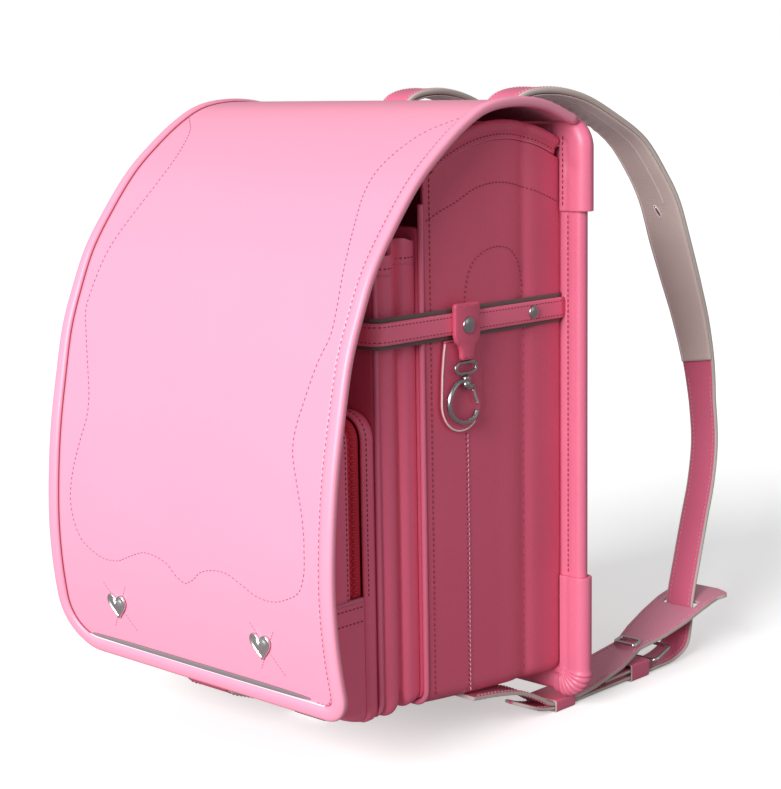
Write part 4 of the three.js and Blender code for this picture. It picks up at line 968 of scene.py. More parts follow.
LOWER_LINE = [(-0.485, 29.2, 0.55), (-0.34, 25.5, 0.55), (-0.22, 20.6, 0.55), (-0.12, 12.5, 0.55),
              (-0.06, 6.4, 0.55), (0, 5.1, 0.55), (0.075, 5.1, 0.56), (0.17, 7.6, 0.68),
              (0.34, 14.5, 0.74), (0.48, 20.2, 0.52), (0.60, 25.4, 0.80), (0.72, 31.2, 0.95),
              (0.84, 37.2, 1), (0.93, 40, 0.98), (1, 41.4, 0.9)]
LINING_ROWS = (2, 12)


def strap_table():
    """The strap's points with their widths and thicknesses, from the anchor to the tail's tip."""
    spread, back, height, width, thick = np.array(STRAP_LINE, float).T
    upper = np.stack([STRAP_TOP_X + (STRAP_FOOT_X - STRAP_TOP_X) * spread, back * STRAP_REACH,
                      height * STRAP_TOP,
                      width * STRAP_WIDTH, thick * STRAP_THICKNESS], axis=-1)
    back, above = np.array(TAIL_LINE, float).T
    tail = np.stack([0 * back + STRAP_FOOT_X, back * STRAP_REACH, above + FLOOR, 0 * back + 22,
                     0 * back + 2.2],
                    axis=-1)
    return np.vstack([upper, tail])


def along_table(points, steps=12):
    """A curve through a table's points, with the table's other columns drawn straight between its rows."""
    path = spline(points[:, :3], steps)
    place = np.linspace(0, len(points) - 1, len(path))
    rest = [np.interp(place, np.arange(len(points)), points[:, k]) for k in range(3, points.shape[1])]
    return path, place, rest


def shoulder_strap():
    """The strap's section carried along its line, rounded off at its end."""
    path, place, (width, thick) = along_table(strap_table())
    share = place / place[-1]
    end = np.sqrt(np.clip(1 - np.clip((share - 0.975) / 0.025, 0, 1) ** 2, 0.03, 1))
    return band(path, width / 2 * end, -thick / 2, thick / 2)


def lining_way():
    """The lining's stretch of the strap, evenly stepped, with its half width and the height of its face."""
    path, place, (width, thick) = along_table(strap_table())
    keep = (place >= LINING_ROWS[0]) & (place <= LINING_ROWS[1])
    rows = np.column_stack([path, width, thick])[keep]
    rows = evenly(rows, 1.6)
    _, across, out = frames(rows[:, :3])
    return rows[:, :3], across, out, (rows[:, 3] - 1.2) / 2, rows[:, 4] / 2 + 0.6


def ripples(run, u):
    """Slanting wrinkles near the inner edge where the strap bends over: short waves that fade along and
    across."""
    bend = np.exp(-((run - 78) / 34) ** 2)
    bend = bend * np.clip((-u - 0.05) / 0.5, 0, 1) * np.clip((1 + u) / 0.12, 0, 1)
    return 0.75 * bend * np.sin((run + 9 * u) / 1.45)


def strap_lining():
    """The beige lining: a thin sheet on the strap's inner face, wrinkled where it bends over."""
    path, across, out, half, low = lining_way()
    run = lengths(path)[:, None]
    u = np.linspace(-1, 1, 34)[None, :]
    edge = np.sqrt(np.clip(1 - np.abs(u) ** 14, 0, 1))
    top = low[:, None] + 0.25 + 1.05 * edge + ripples(run, u)
    flat = path[:, None] + (u * half[:, None])[..., None] * across[:, None]
    return wall(flat + top[..., None] * out[:, None],
                flat + (low[:, None] + 0 * u)[..., None] * out[:, None])


def lining_line(u, radius, first=0.0, last=1.0):
    """A thin cord along the lining, at a share of its half width from the middle."""
    path, across, out, half, low = lining_way()
    run = lengths(path)
    top = low + 1.25 + ripples(run, np.full(len(run), u))
    line = path + (u * half)[:, None] * across + top[:, None] * out
    return wire(line[int(first * len(run)):int(last * len(run))], radius, sides=8)


def lining_slit():
    """The slanted slit in the lining: a hollow, coloured dark as painted shade, inside a pale oval rim."""
    path, across, out, half, low = lining_way()
    k = int(np.argmin(np.abs(path[:, 2] - SLIT_HEIGHT)))
    along = unit(path[k + 1] - path[k - 1])
    t = turns(26)
    ahead = 5.0 * np.cos(t) + 0.0 * t
    aside = 1.5 * np.sin(t) + 1.4 * np.cos(t) - 0.1 * half[k]
    middle = path[k] + (low[k] + 1.3) * out[k]
    ring = middle + ahead[:, None] * along + aside[:, None] * across[k]
    rim = wire(ring, 0.5, True, 8)
    centre = ring.mean(axis=0)
    hollow = ((0.9, -0.3), (0.9, 0.12), (0.05, 0.16))
    layers = [centre + (ring - centre) * s + lift * out[k] for s, lift in hollow]
    return rim, bar(np.stack(layers))


pair("shoulder_strap_leather", shoulder_strap, strap_pink, stands_for=["shoulder_strap"], edge=edge_paint,
     edge_columns=EDGE_COLUMNS)
pair("strap_lining_satin", strap_lining, satin, stands_for=["strap_lining"], slot="back_lining")
# The pale cords are painted highlights along raised lines of the lining.
pair("lining_seam_highlight_cord",
     lambda: together([lining_line(0.34, 0.34, 0.12, 0.62), lining_line(-0.86, 0.42, 0.1, 1.0)]),
     pale_highlight_and_edge, slot="back_lining")
pair("lining_slit_rim", lambda: lining_slit()[0], pale_highlight_and_edge, slot="back_lining")
# The slit's hollow is dark metal as painted shade.
pair("lining_slit_shade_hollow", lambda: lining_slit()[1], dark_steel, slot="back_lining")


# Stitched rows, pipings and edges of the body

def side_row(points, lift=0.0):
    """A line on the right side through points of (y, z), with its outward directions."""
    way = spline(points, 8)
    out = np.zeros((len(way), 3))
    out[:, 0] = 1
    return np.stack([side_at(way[:, 0]) + lift, way[:, 0], way[:, 1]], axis=-1), out


def hem_row(rise, lift):
    """A line along the arched top of the side, at a height on its hem."""
    y = np.linspace(-8, 8 - BODY_DEPTH, 40)
    return side_row(np.stack([y, arch_at(y) + rise], axis=-1), lift)


UPPER_ARC = [(-122, 295), (-109, 300.5), (-96.2, 304.8), (-82, 311), (-69.4, 313.8), (-55.8, 314.3),
             (-41, 312), (-27.8, 308.7), (-15, 304.5), (-3, 300)]
SIDE_ARCH = [(-89, 9), (-89, 60), (-89, 120), (-89.5, 180), (-90, 230), (-89.6, 250), (-83.5, 267.3),
             (-72, 274.5), (-58.9, 276.6), (-47.5, 273.5), (-38.6, 264), (-34.6, 250)]
SIDE_CREASE = [(-34.6, 250), (-33.6, 230), (-33.8, 150), (-34, 60), (-34, 9)]
SECOND_ROW = [(-87.4, 9), (-87.4, 60), (-87.4, 120), (-87.8, 168)]
side_rows = [hem_row(2.4, 0.1), side_row(UPPER_ARC), side_row(SIDE_ARCH)]
pair("side_rows", lambda: stitches(side_rows, pitch=3.0, length=1.7, radius=0.4), dark_thread_with_hole_shade)
pair("crease_rows", lambda: stitches([side_row(SIDE_CREASE, -0.15)], pitch=5.4, length=2.6, radius=0.3),
     soft_thread)
pair("second_side_rows", lambda: stitches([side_row(SECOND_ROW)], pitch=3.0, length=2.3, radius=0.5),
     pink_thread)


def welt(points, radius=0.55, lift=0.0):
    """A thin raised line of leather along the side."""
    way, _ = side_row(points, lift)
    return wire(evenly(way, 3.0), radius, sides=8)


def hem_welt():
    """The raised lower edge of the hem's strip."""
    y = np.linspace(-7, 7 - BODY_DEPTH, 30)
    return welt(np.stack([y, arch_at(y) + 0.1], axis=-1), 0.5, 0.35)


pair("side_welt", hem_welt, trim_pink)


def piping_rows(half, top, y, out_by):
    """A row along both upright lengths of a piping, on the leather behind its roll."""
    z = np.linspace(14, top - 2, 90)
    out = facing(len(z), 1.0, 0.0, 0.0)
    right = np.stack([0 * z + half + out_by, 0 * z + y, z], axis=-1)
    return [(right, out), (right * [-1, 1, 1], out * [-1, 1, 1])]


bead_rows = piping_rows(float(side_at(np.array([-118.5]))[0]), 322, -118.5, 0.0)
piece("main_bead_rows", stitches(bead_rows), dark_thread_with_hole_shade)


def small_line(y, z, lift):
    """A line round the right side of the small compartment at points of (y, z), with its outward
    directions."""
    x = SMALL_HALF - table(SMALL_FOLDS, (SMALL_BACK - y) / SMALL_DEPTH) + lift
    return np.stack([x, y, z], axis=-1), facing(len(y), 1.0, 0.0, 0.0)


REAR_HEM = np.linspace(SMALL_BACK - 0.8, SMALL_BACK - 13.2, 14)
FRONT_HEM = np.linspace(SMALL_BACK - 18.6, SMALL_BACK - 29.4, 12)


def small_hem_rows():
    """The stitched tops of the small compartment's side, one on each side of its fold."""
    return stitches([small_line(REAR_HEM, 275.3 + 0 * REAR_HEM, 0.0),
                     small_line(FRONT_HEM, 270.4 + 0 * FRONT_HEM, 0.0)],
                    pitch=2.7, length=1.7, radius=0.4)


def small_hem_welts():
    """The raised lower edges of those hems."""
    lines = [small_line(REAR_HEM, 272 + 0 * REAR_HEM, 0.0),
             small_line(FRONT_HEM, 266.6 + 0 * FRONT_HEM, 0.0)]
    return together([wire(points, 0.55, sides=8) for points, _ in lines])


pair("small_hem_rows", small_hem_rows, dark_thread_with_hole_shade)
pair("small_hem_welt", small_hem_welts, trim_pink)


# Front walls behind the flap

def front_wall(half, bottom, top, top_corner, bottom_corner, back, front):
    """A gently domed wall: a rounded outline drawn in ring by ring to its middle."""
    outline = rounded_loop(half, bottom, top, top_corner, bottom_corner)
    middle = np.array([0.0, (bottom + top) / 2])
    share = np.array([1.0, 1.0, 0.994, 0.985, 0.95, 0.8, 0.5, 0.2, 0.03])
    depth = np.array([0.0, 0.7, 0.93, 1.0, 1.0, 1.0, 1.0, 1.0, 1.0])
    rings = [middle + (outline - middle) * s for s in share]
    grid = [np.stack([r[:, 0], 0 * r[:, 0] + back + (front - back) * d, r[:, 1]], axis=-1)
            for r, d in zip(rings, depth)]
    return bar(np.stack(grid))


main_room, small_room = MAIN_ROLL + GAP, SMALL_ROLL + GAP
main_bottom = float(base_at(-BODY_DEPTH)) + 1.0 + main_room
piece("main_front_wall",
      front_wall(MAIN_PIPING_HALF - main_room, main_bottom, 292, 1, BODY_CORNER - main_room,
                 MAIN_PIPING_Y + 1.2, MAIN_PIPING_Y - 1.2),
      shade_darkened_body, stands_for=["main_front_panel"])
piece("small_front_wall",
      front_wall(SMALL_PIPING_HALF - small_room, 10 + small_room, 271, 1, BODY_CORNER - small_room,
                 SMALL_PIPING_Y + 1.2, SMALL_PIPING_Y - 1.2),
      shade_darkened_body, stands_for=["small_front_panel"])
piece("zip_front_wall",
      front_wall(ZIP_HALF, 20, ZIP_TOP, ZIP_CORNER, ZIP_CORNER / 2, ZIP_FACE - GAP,
                 ZIP_FACE - GAP - LEATHER),
      shade_darkened_body, stands_for=["zip_front_panel"])


# Zip pocket


def zip_base():
    """The strip below the zip's end, whose underside lifts towards the front."""
    y = np.linspace(ZIP_TAPE_BACK, ZIP_FACE, 14)
    bottom = ZIP_BOTTOM + ZIP_FOOT_RISE * ((ZIP_BACK - y) / (ZIP_BACK - ZIP_FACE)) ** 2
    wall_half = LEATHER / 2
    x, z = trough(ZIP_HALF - wall_half + 0 * y, bottom + wall_half, ZIP_END + 0 * y,
                  ZIP_CORNER / 2 - wall_half + 0 * y, 24)
    return sheet(as_grid(x, z, y))


zip_loop = rounded_loop(ZIP_HALF, ZIP_BOTTOM + 0.4, ZIP_TOP, ZIP_CORNER, ZIP_CORNER / 2, 3.0)
tape_way = arch(ZIP_HALF - 2.6, ZIP_END + GAP, ZIP_TOP - 2.6, ZIP_CORNER - 2.6)
front_way = arch(ZIP_HALF, ZIP_END + GAP, ZIP_TOP, ZIP_CORNER)
piece("zip_rear_strip", hoop(zip_loop, ZIP_BACK, ZIP_TAPE_BACK + GAP, -LEATHER, 0, 0.7, True), light_painted_front,
      stands_for=["zip_gusset_rear"])
piece("zip_tape_cloth", hoop(tape_way, ZIP_TAPE_BACK - 0.1, ZIP_TAPE_FRONT + GAP, -1.2, 0), zip_red,
      stands_for=["zip_tape"], slot="zip_fabric")
piece("zip_front_strip", hoop(front_way, ZIP_TAPE_FRONT, ZIP_FACE, -LEATHER, 0, 0.5), light_painted_front,
      stands_for=["zip_gusset_front"])
piece("zip_base_leather", zip_base(), light_painted_front, stands_for=["zip_base"], thickness=LEATHER, rounded=0.7)


def coil_teeth(way, y, pitch=1.7):
    """The zip's coil: short bars across the tape, set by turns a little to the front and to the back."""
    points, _, out = upright(way, y)
    run = lengths(points)
    where = np.arange(2, run[-1] - 2, pitch)
    middle = at_lengths(points, where)
    away = unit(np.stack([np.interp(where, run, out[:, k]) for k in range(3)], axis=-1))
    along = np.cross(away, [0.0, 1.0, 0.0])
    shift = np.where(np.arange(len(where)) % 2, 0.6, -0.6)
    u = np.array([-1.0, -0.85, 0.0, 0.85, 1.0])
    fat = np.array([0.3, 0.9, 1.0, 0.9, 0.3]) * 0.62
    turn = turns(6)
    deep = (u * 1.9)[None, :] + shift[:, None]
    centre = middle[:, None] + away[:, None] * 0.5 + deep[..., None] * np.array([0, 1.0, 0])
    ring = np.cos(turn)[:, None] * along[:, None, None] + np.sin(turn)[:, None] * away[:, None, None]
    rings = centre[:, :, None] + fat[None, :, None, None] * ring
    return together([bar(tooth) for tooth in rings])


piece("zip_coil", coil_teeth(tape_way, (ZIP_TAPE_BACK + ZIP_TAPE_FRONT) / 2), zip_red, slot="zip_fabric")


def hoop_row(way, y, lift, loop=False):
    """A line round an outline at one depth, with its outward directions."""
    points, _, out = upright(way, y, loop)
    return points + lift * out, out


zip_rows = [hoop_row(arch(ZIP_HALF, ZIP_END, ZIP_TOP, ZIP_CORNER), ZIP_TAPE_BACK + 3.0, 0.5),
            hoop_row(front_way, ZIP_TAPE_FRONT - 2.6, 0.3)]
for level in (ZIP_END - 4.5, ZIP_END - 13):
    depth = np.linspace(ZIP_TAPE_BACK - 1, ZIP_FACE + 2, 12)
    for side in (1, -1):
        out = facing(12, float(side), 0.0, 0.0)
        zip_rows.append((np.stack([0 * depth + side * ZIP_HALF, depth, 0 * depth + level], axis=-1), out))
piece("zip_rows", stitches(zip_rows, pitch=2.9, length=2.0), dark_thread_with_hole_shade)


def end_welt():
    """The rolled edge across the zip's end on the right side."""
    y = np.linspace(ZIP_TAPE_BACK - 0.8, ZIP_FACE + 0.8, 14)
    return wire(np.stack([0 * y + ZIP_HALF - 0.7, y, 0 * y + ZIP_END - 0.6], axis=-1), 1.5)


pair("zip_end_welt", end_welt, trim_pink)


# Binding round the back panel, and the leather over its corners


def binding_section(reach=1.0):
    """The binding's section: how far in from its outer edge and how far behind its front face, in mm,
    with the
    directions away from it. A round outer edge, and two faces that dip at the row of stitches."""
    turn = np.linspace(-math.pi / 2, math.pi / 2, 15)
    radius = BINDING_THICKNESS / 2
    face = np.linspace(radius, BINDING_WIDTH * reach, 12)[1:]
    dip = 0.7 * np.exp(-((face - 11.0) / 1.6) ** 2)
    inward = np.concatenate([face[::-1], radius - radius * np.cos(turn), face])
    behind = np.concatenate([dip[::-1], radius + radius * np.sin(turn), BINDING_THICKNESS - dip])
    out_in = np.concatenate([0 * face, -np.cos(turn), 0 * face])
    out_back = np.concatenate([-1 + 0 * face, np.sin(turn), 1 + 0 * face])
    return inward, behind, out_in, out_back


def binding_way():
    """Once round the back panel's outer edge, with the outward directions."""
    ring = rounded_loop(BACK_HALF, BACK_BOTTOM, BACK_TOP, BINDING_CORNER, BINDING_CORNER, 3.0)
    path, _, out = upright(ring, 0.0, True)
    return path, out


def flange():
    """The binding: its section carried once round the back panel's outer edge."""
    path, out = binding_way()
    inward, behind, _, _ = binding_section()
    rings = path[:, None] - inward[None, :, None] * out[:, None]
    rings = rings + behind[None, :, None] * np.array([0.0, 1.0, 0.0])
    return bar(rings, True)


piece("flange_leather", flange(), trim_pink, stands_for=["flange_binding"], slot="trim_leather")


def corner_way(vertical, reach, steps_down, steps_round):
    """Along the side of the binding, round its corner and a little along its top or bottom edge."""
    centre_x, edge_run = BACK_HALF - BINDING_CORNER, 4.0
    centre_z = BACK_TOP - BINDING_CORNER if vertical > 0 else BACK_BOTTOM + BINDING_CORNER
    down = np.linspace(reach - BINDING_CORNER, 0, steps_down)[:-1]
    turn = np.linspace(0, math.pi / 2, steps_round)
    x = np.concatenate([0 * down + BACK_HALF, centre_x + BINDING_CORNER * np.cos(turn),
                        [centre_x - edge_run]])
    z = np.concatenate([centre_z - vertical * down, centre_z + vertical * BINDING_CORNER * np.sin(turn),
                        [centre_z + vertical * BINDING_CORNER]])
    out = np.stack([np.concatenate([0 * down + 1, np.cos(turn), [0]]), np.zeros(len(x)),
                    np.concatenate([0 * down, vertical * np.sin(turn), [vertical]])], axis=-1)
    share = np.concatenate([0 * down, turn / (math.pi / 2), [1.0]])
    fall = np.concatenate([down, 0 * turn, [0.0]])
    return np.stack([x, 0 * x, z], axis=-1), out, share, fall


def corner_leather(vertical, reach, swell, pleats, dent=0.0):
    """Leather drawn over a corner: the binding's own section stood off by its thickness, swollen towards
    the
    outer edge along the side and gathered in sharp pleats round the corner."""
    path, out, share, fall = corner_way(vertical, reach, 26, 90 if pleats else 24)
    inward, behind, out_in, out_back = binding_section(0.97)
    reach_in = 0.97 - (0.19 * share if pleats else 0 * share)
    u = np.minimum(inward[None, :] / BINDING_WIDTH, reach_in[:, None])
    near_edge = (1 - u) ** 2
    wave = 0.0
    if pleats:
        ridge = np.abs(np.sin(share * pleats * math.pi)) ** 0.7
        wave = 0.95 * (ridge * np.minimum(1, 12 * share * (1.02 - share)))[:, None] * (1 - 0.55 * u)
    fold = dent * np.exp(-((fall - 12) / 5.0) ** 2)[:, None] * np.exp(-((u - 0.5) / 0.22) ** 2)

    def grid(off, full):
        """The leather's face stood off from the binding, with its swell, pleats and dent where `full` is
        1."""
        stand = off + full * (wave - fold)
        bulge = full * swell * (1 - 0.75 * share)[:, None] * near_edge
        outward = -(u * BINDING_WIDTH) - out_in[None, :] * stand + bulge
        back = behind[None, :] + out_back[None, :] * stand
        points = path[:, None] + outward[..., None] * out[:, None]
        return points + back[..., None] * np.array([0.0, 1.0, 0.0])

    return wall(grid(GAP + 1.6, 1.0), grid(GAP, 0.0))


pair("corner_cap_leather", lambda: corner_leather(1, 56, 2.4, 0, 1.1), trim_pink,
     stands_for=["corner_cap"], slot="trim_leather", rounded=0.45)
pair("corner_patch_leather", lambda: corner_leather(-1, 78, 1.2, 7), trim_pink,
     stands_for=["corner_patch"], slot="trim_leather", rounded=0.45)


def flange_rows():
    """The row in the binding's dip, on both faces, left out where the corners' leather covers it."""
    z = np.linspace(BACK_BOTTOM + 80, BACK_TOP - 58, 120)
    lines = []
    for y, way in ((0.55, -1.0), (BINDING_THICKNESS - 0.55, 1.0)):
        points = np.stack([0 * z + BACK_HALF - 11.0, 0 * z + y, z], axis=-1)
        lines.append((points, facing(len(z), 0.0, way, 0.0)))
    return stitches(lines)


pair("flange_rows", flange_rows, dark_thread_with_hole_shade, slot="trim_leather")


def cap_row():
    """A row near the inner edge of the corner leather."""
    z = np.linspace(BACK_TOP - 53, BACK_TOP - 10, 20)
    points = np.stack([0 * z + BACK_HALF - 13.2, 0 * z - 1.9, z], axis=-1)
    return stitches([(points, facing(20, 0.0, -1.0, 0.0))])


pair("cap_rows", cap_row, dark_thread_with_hole_shade, slot="trim_leather")


# Belt, hangers and hooks


def belt_way():
    """Along the right side from the back panel, across the front and back along the left side."""
    turn = np.linspace(0, math.pi / 2, 10)
    corner = np.stack([BELT_FACE - 6 + 6 * np.cos(turn), BELT_FRONT + 6 - 6 * np.sin(turn)], axis=-1)
    side = np.stack([np.full(40, BELT_FACE), np.linspace(-GAP, BELT_FRONT + 6, 40)], axis=-1)[:-1]
    right = np.vstack([side, corner])
    way = np.vstack([right, right[::-1] * [-1, 1]])
    along = np.gradient(way, axis=0)
    out = unit(np.stack([-along[:, 1], along[:, 0], 0 * along[:, 0]], axis=-1))
    return np.stack([way[:, 0], way[:, 1], 0 * way[:, 0] + BELT_HEIGHT], axis=-1), out


def belt_strip(half, inner, outer, crown):
    """A strip of the belt: a flat section carried along its way round the bag."""
    path, out = belt_way()
    return band(path, half, inner, outer, crown, ways=(np.broadcast_to([0.0, 0.0, 1.0], out.shape), out))


piece("belt_backing_strip", belt_strip(BACKING_HALF, 0, 0.9, 0), backing_grey,
      stands_for=["belt_backing"], slot="reflective_band")
piece("side_belt_leather", belt_strip(BELT_HALF, 1.2, BELT_OUT, 0.25), belt_pink, stands_for=["side_belt"])
belt_path, belt_out = belt_way()
belt_rows = [(belt_path + belt_out * BELT_OUT + [0, 0, rise], belt_out) for rise in (-4.3, 4.3)]
piece("belt_rows", stitches(belt_rows, pitch=2.9, length=2.0, radius=0.32), dark_thread_with_hole_shade)


def side_plate(outline, inner, outer, edge=0.6, crown=0.0):
    """A plate against the right side: its outline in y and z, with rounded edges, drawn in ring by ring."""
    along = np.roll(outline, -1, axis=0) - np.roll(outline, 1, axis=0)
    inward = unit(np.stack([-along[:, 1], along[:, 0]], axis=-1))
    area = np.sum(outline[:, 0] * np.roll(outline[:, 1], -1) - np.roll(outline[:, 0], -1) * outline[:, 1])
    inward = inward * np.sign(area)
    turn = np.linspace(0, math.pi / 2, 4)
    thick = outer - inner
    layers = [(edge, 0.0)] + [(edge * (1 - math.sin(t)), edge * (1 - math.cos(t))) for t in turn[1:]]
    layers += [(edge * (1 - math.cos(t)), thick - edge + edge * math.sin(t)) for t in turn]
    layers += [(edge + 0.9, thick + 0.4 * crown)]
    rings = [np.concatenate([np.full((len(outline), 1), inner + lift), outline + inset * inward], axis=1)
             for inset, lift in layers]
    return rings


def plate_mesh(rings):
    """Rings of a plate joined, with its two flat ends filled across from one side of the ring to the
    other."""
    rings = np.stack(rings)
    count, sides = rings.shape[:2]
    half = sides // 2
    k = np.arange(half - 1)
    across = np.stack([k, k + 1, sides - 2 - k, sides - 1 - k], axis=-1)
    quads = np.vstack([grid_faces(count, sides, False, True), across,
                       (count - 1) * sides + across[:, ::-1]])
    return rings.reshape(-1, 3), quads, np.zeros((0, 3), int)


def two_sided(right_edge):
    """A closed outline from its right-hand edge, with the left-hand edge its mirror about y = 0."""
    edge = evenly(np.asarray(right_edge, float), 0.9)
    return np.vstack([edge, edge[::-1] * [-1, 1]])


def hanger_outline():
    """The hanger: straight over the belt, then drawn in through an S to the neck that holds the ring."""
    turn = np.linspace(math.pi / 2, 0, 5)
    top = [(9.2 + 1.8 * math.cos(t), HANGER_TOP - 1.8 + 1.8 * math.sin(t)) for t in turn]
    curve = spline([(11, BELT_HEIGHT - 4), (11, BELT_HEIGHT - 6.5), (9.6, BELT_HEIGHT - 10.5),
                    (6.8, BELT_HEIGHT - 13.2),
                    (5.6, BELT_HEIGHT - 16.5), (5.5, HANGER_BOTTOM + 2)], 5)
    end = [(5.2, HANGER_BOTTOM + 0.8), (4.2, HANGER_BOTTOM)]
    outline = two_sided(np.vstack([[(0.3, HANGER_TOP)], top, curve, end, [(0.3, HANGER_BOTTOM)]]))
    return outline + [-HOOK_BACK, 0]


pair("hook_hanger_leather",
     lambda: plate_mesh(side_plate(hanger_outline(), HANGER_IN, HANGER_IN + 3, 0.8, 0.6)), shade_darkened_body,
     stands_for=["hook_hanger"])


def pad_outline(inset=0.0):
    """The pad: nearly straight sides that round into a half circle below."""
    half = 18 - inset
    foot = PAD_TOP - 55 + 18
    turn = np.linspace(0, -math.pi / 2, 16)
    sides_down = [(0.8 * half, PAD_TOP - inset), (0.88 * half, PAD_TOP - 8), (0.96 * half, PAD_TOP - 20)]
    curve = [(half * math.cos(t), foot + half * math.sin(t)) for t in turn]
    return two_sided(np.vstack([[(0.2, PAD_TOP - inset)], sides_down, curve])) + [HOOK_Y, 0]


pair("hook_pad_leather", lambda: plate_mesh(side_plate(pad_outline(), BELT_FACE, BELT_FACE + 1.6, 0.6)),
     shade_darkened_body, stands_for=["hook_pad"])


def pad_highlight_edge():
    """The pad's pale edge, kept only along its front and lower run: a pale edge, and a painted highlight
    where it faces the light.
    """
    way = pad_outline(0.35)
    # Only the front and lower run is kept, where the painted highlight falls.
    keep = (way[:, 1] < PAD_TOP - 1.5) & (way[:, 0] < HOOK_Y + 12)
    first = int(np.argmax(keep))
    way = way[first:first + int(keep.sum())]
    return wire(np.concatenate([np.full((len(way), 1), BELT_FACE + 1.45), way], axis=1), 0.55, sides=8)


pair("hook_pad_highlight_edge", pad_highlight_edge, pale_highlight_and_edge)


def rivet_head(y, z, base, radius=4.4, height=2.0):
    """A domed rivet head on the right side: a profile turned about x."""
    share = np.linspace(0, math.pi / 2, 9)
    dome = [(math.cos(t), 0.12 + 0.88 * math.sin(t)) for t in share[:-1]]
    profile = [(0.9, 0.0), (1.0, 0.06)] + dome + [(0.06, 1.0)]
    turn = turns(28)
    return bar(np.stack([np.stack([0 * turn + base + lift * height, y + radius * r * np.cos(turn),
                                   z + radius * r * np.sin(turn)], axis=-1) for r, lift in profile]))


pair("belt_rivet_head", lambda: rivet_head(-31.0, BELT_HEIGHT, BELT_FACE + BELT_OUT + GAP), dark_steel,
     stands_for=["belt_rivet"], slot="steel")
pair("hanger_rivet_head", lambda: rivet_head(-HOOK_BACK, HANGER_TOP - 13, HANGER_IN + 3 + GAP, 5.1),
     dark_steel, stands_for=["hanger_rivet"], slot="steel")


def hook_ring():
    """The flat oval ring below the hanger's neck."""
    t = turns(44)
    y = HOOK_Y + 9 * np.sign(np.cos(t)) * np.abs(np.cos(t)) ** 0.6
    z = (RING_TOP + RING_BOTTOM) / 2 + 3.25 * np.sign(np.sin(t)) * np.abs(np.sin(t)) ** 0.8
    return wire(np.stack([0 * t + METAL_X, y, z], axis=-1), 1.15, True)


def turned(profile, y, sides=24):
    """A profile of (radius, height) turned about an upright line on the right side."""
    turn = turns(sides)
    return bar(np.stack([np.stack([METAL_X + r * np.cos(turn), y + r * np.sin(turn), 0 * turn + z], axis=-1)
                         for r, z in profile]))


HOOK_SHAPE = [(-1.6, 2.6), (-6.4, 2.2), (-11.6, -1.6), (-14.6, -7), (-14.6, -12.6), (-11.6, -17.8),
              (-6, -21.2), (0.8, -22), (6.8, -20), (9.6, -16.2)]


def hook_body():
    """The swivel barrel, the open pear-shaped hook and the lug that carries the gate."""
    way = spline(np.array(HOOK_SHAPE) + [HOOK_Y, HOOK_TOP], 7)
    path = np.stack([0 * way[:, 0] + METAL_X, way[:, 0], way[:, 1]], axis=-1)
    along = unit(np.gradient(path, axis=0))
    outward = np.cross(along, [1.0, 0.0, 0.0])
    loop = band(path, 1.75, -1.35, 1.35, 0.15, 0.15,
                ways=(np.broadcast_to([1.0, 0.0, 0.0], path.shape), outward))
    barrel = turned([(1.6, BARREL_TOP), (2.4, BARREL_TOP - 0.3), (2.8, BARREL_TOP - 1.1),
                     (2.8, BARREL_TOP - 2.6),
                     (2.45, BARREL_TOP - 2.9), (2.45, BARREL_TOP - 3.5), (2.8, BARREL_TOP - 3.8),
                     (2.8, BARREL_BOTTOM + 1.0), (2.4, BARREL_BOTTOM + 0.3), (1.6, BARREL_BOTTOM)], HOOK_Y)
    a, b = np.array([-1.0, 1.0, 1.0, -1.0]), np.array([-1.0, -1.0, 1.0, 1.0])
    lug_y, lug_z = HOOK_Y + 3.85, BARREL_BOTTOM - 0.4 * 2.6 + 1.3
    rings = [np.stack([METAL_X + 1.5 * k * a, lug_y + 0 * a + s, lug_z + 1.3 * k * b], axis=-1)
             for k, s in ((0.7, -3.85), (1.0, -3.4), (1.0, 3.4), (0.7, 3.85))]
    return together([outwards(loop), outwards(barrel), outwards(bar(np.stack(rings)))])


def hook_gate():
    """The sprung gate: a round lever from the lug to the hook's tip."""
    top = np.array([HOOK_Y + 0.28 * 22, BARREL_BOTTOM - 0.4 * 2.6 - GAP - 0.5])
    tip = np.array([HOOK_Y + 11 * math.cos(0.35), HOOK_FOOT - 11 * math.sin(0.35) + 2.5])
    bend = top + 0.45 * (tip - top) + [-0.24, -0.08]
    way = spline([top, bend, tip], 10)
    path = np.stack([0 * way[:, 0] + METAL_X, way[:, 0], way[:, 1]], axis=-1)
    share = np.linspace(0, 1, len(path))
    return wire(path, 1.0 + 0.0 * share, sides=14)


pair("hook_ring_wire", hook_ring, dark_steel, stands_for=["hook_ring"], slot="steel")
pair("hook_body_metal", hook_body, dark_steel, stands_for=["hook_body"], slot="steel")
for side, turn in (("right", lambda s: s), ("left", mirrored)):
    piece(f"hook_gate_lever_{side}", turn(hook_gate()), bright_steel, body=f"gate_{side}",
          stands_for=[f"hook_gate_{side}"], slot="steel")


# Hearts and the silver strip on the flap

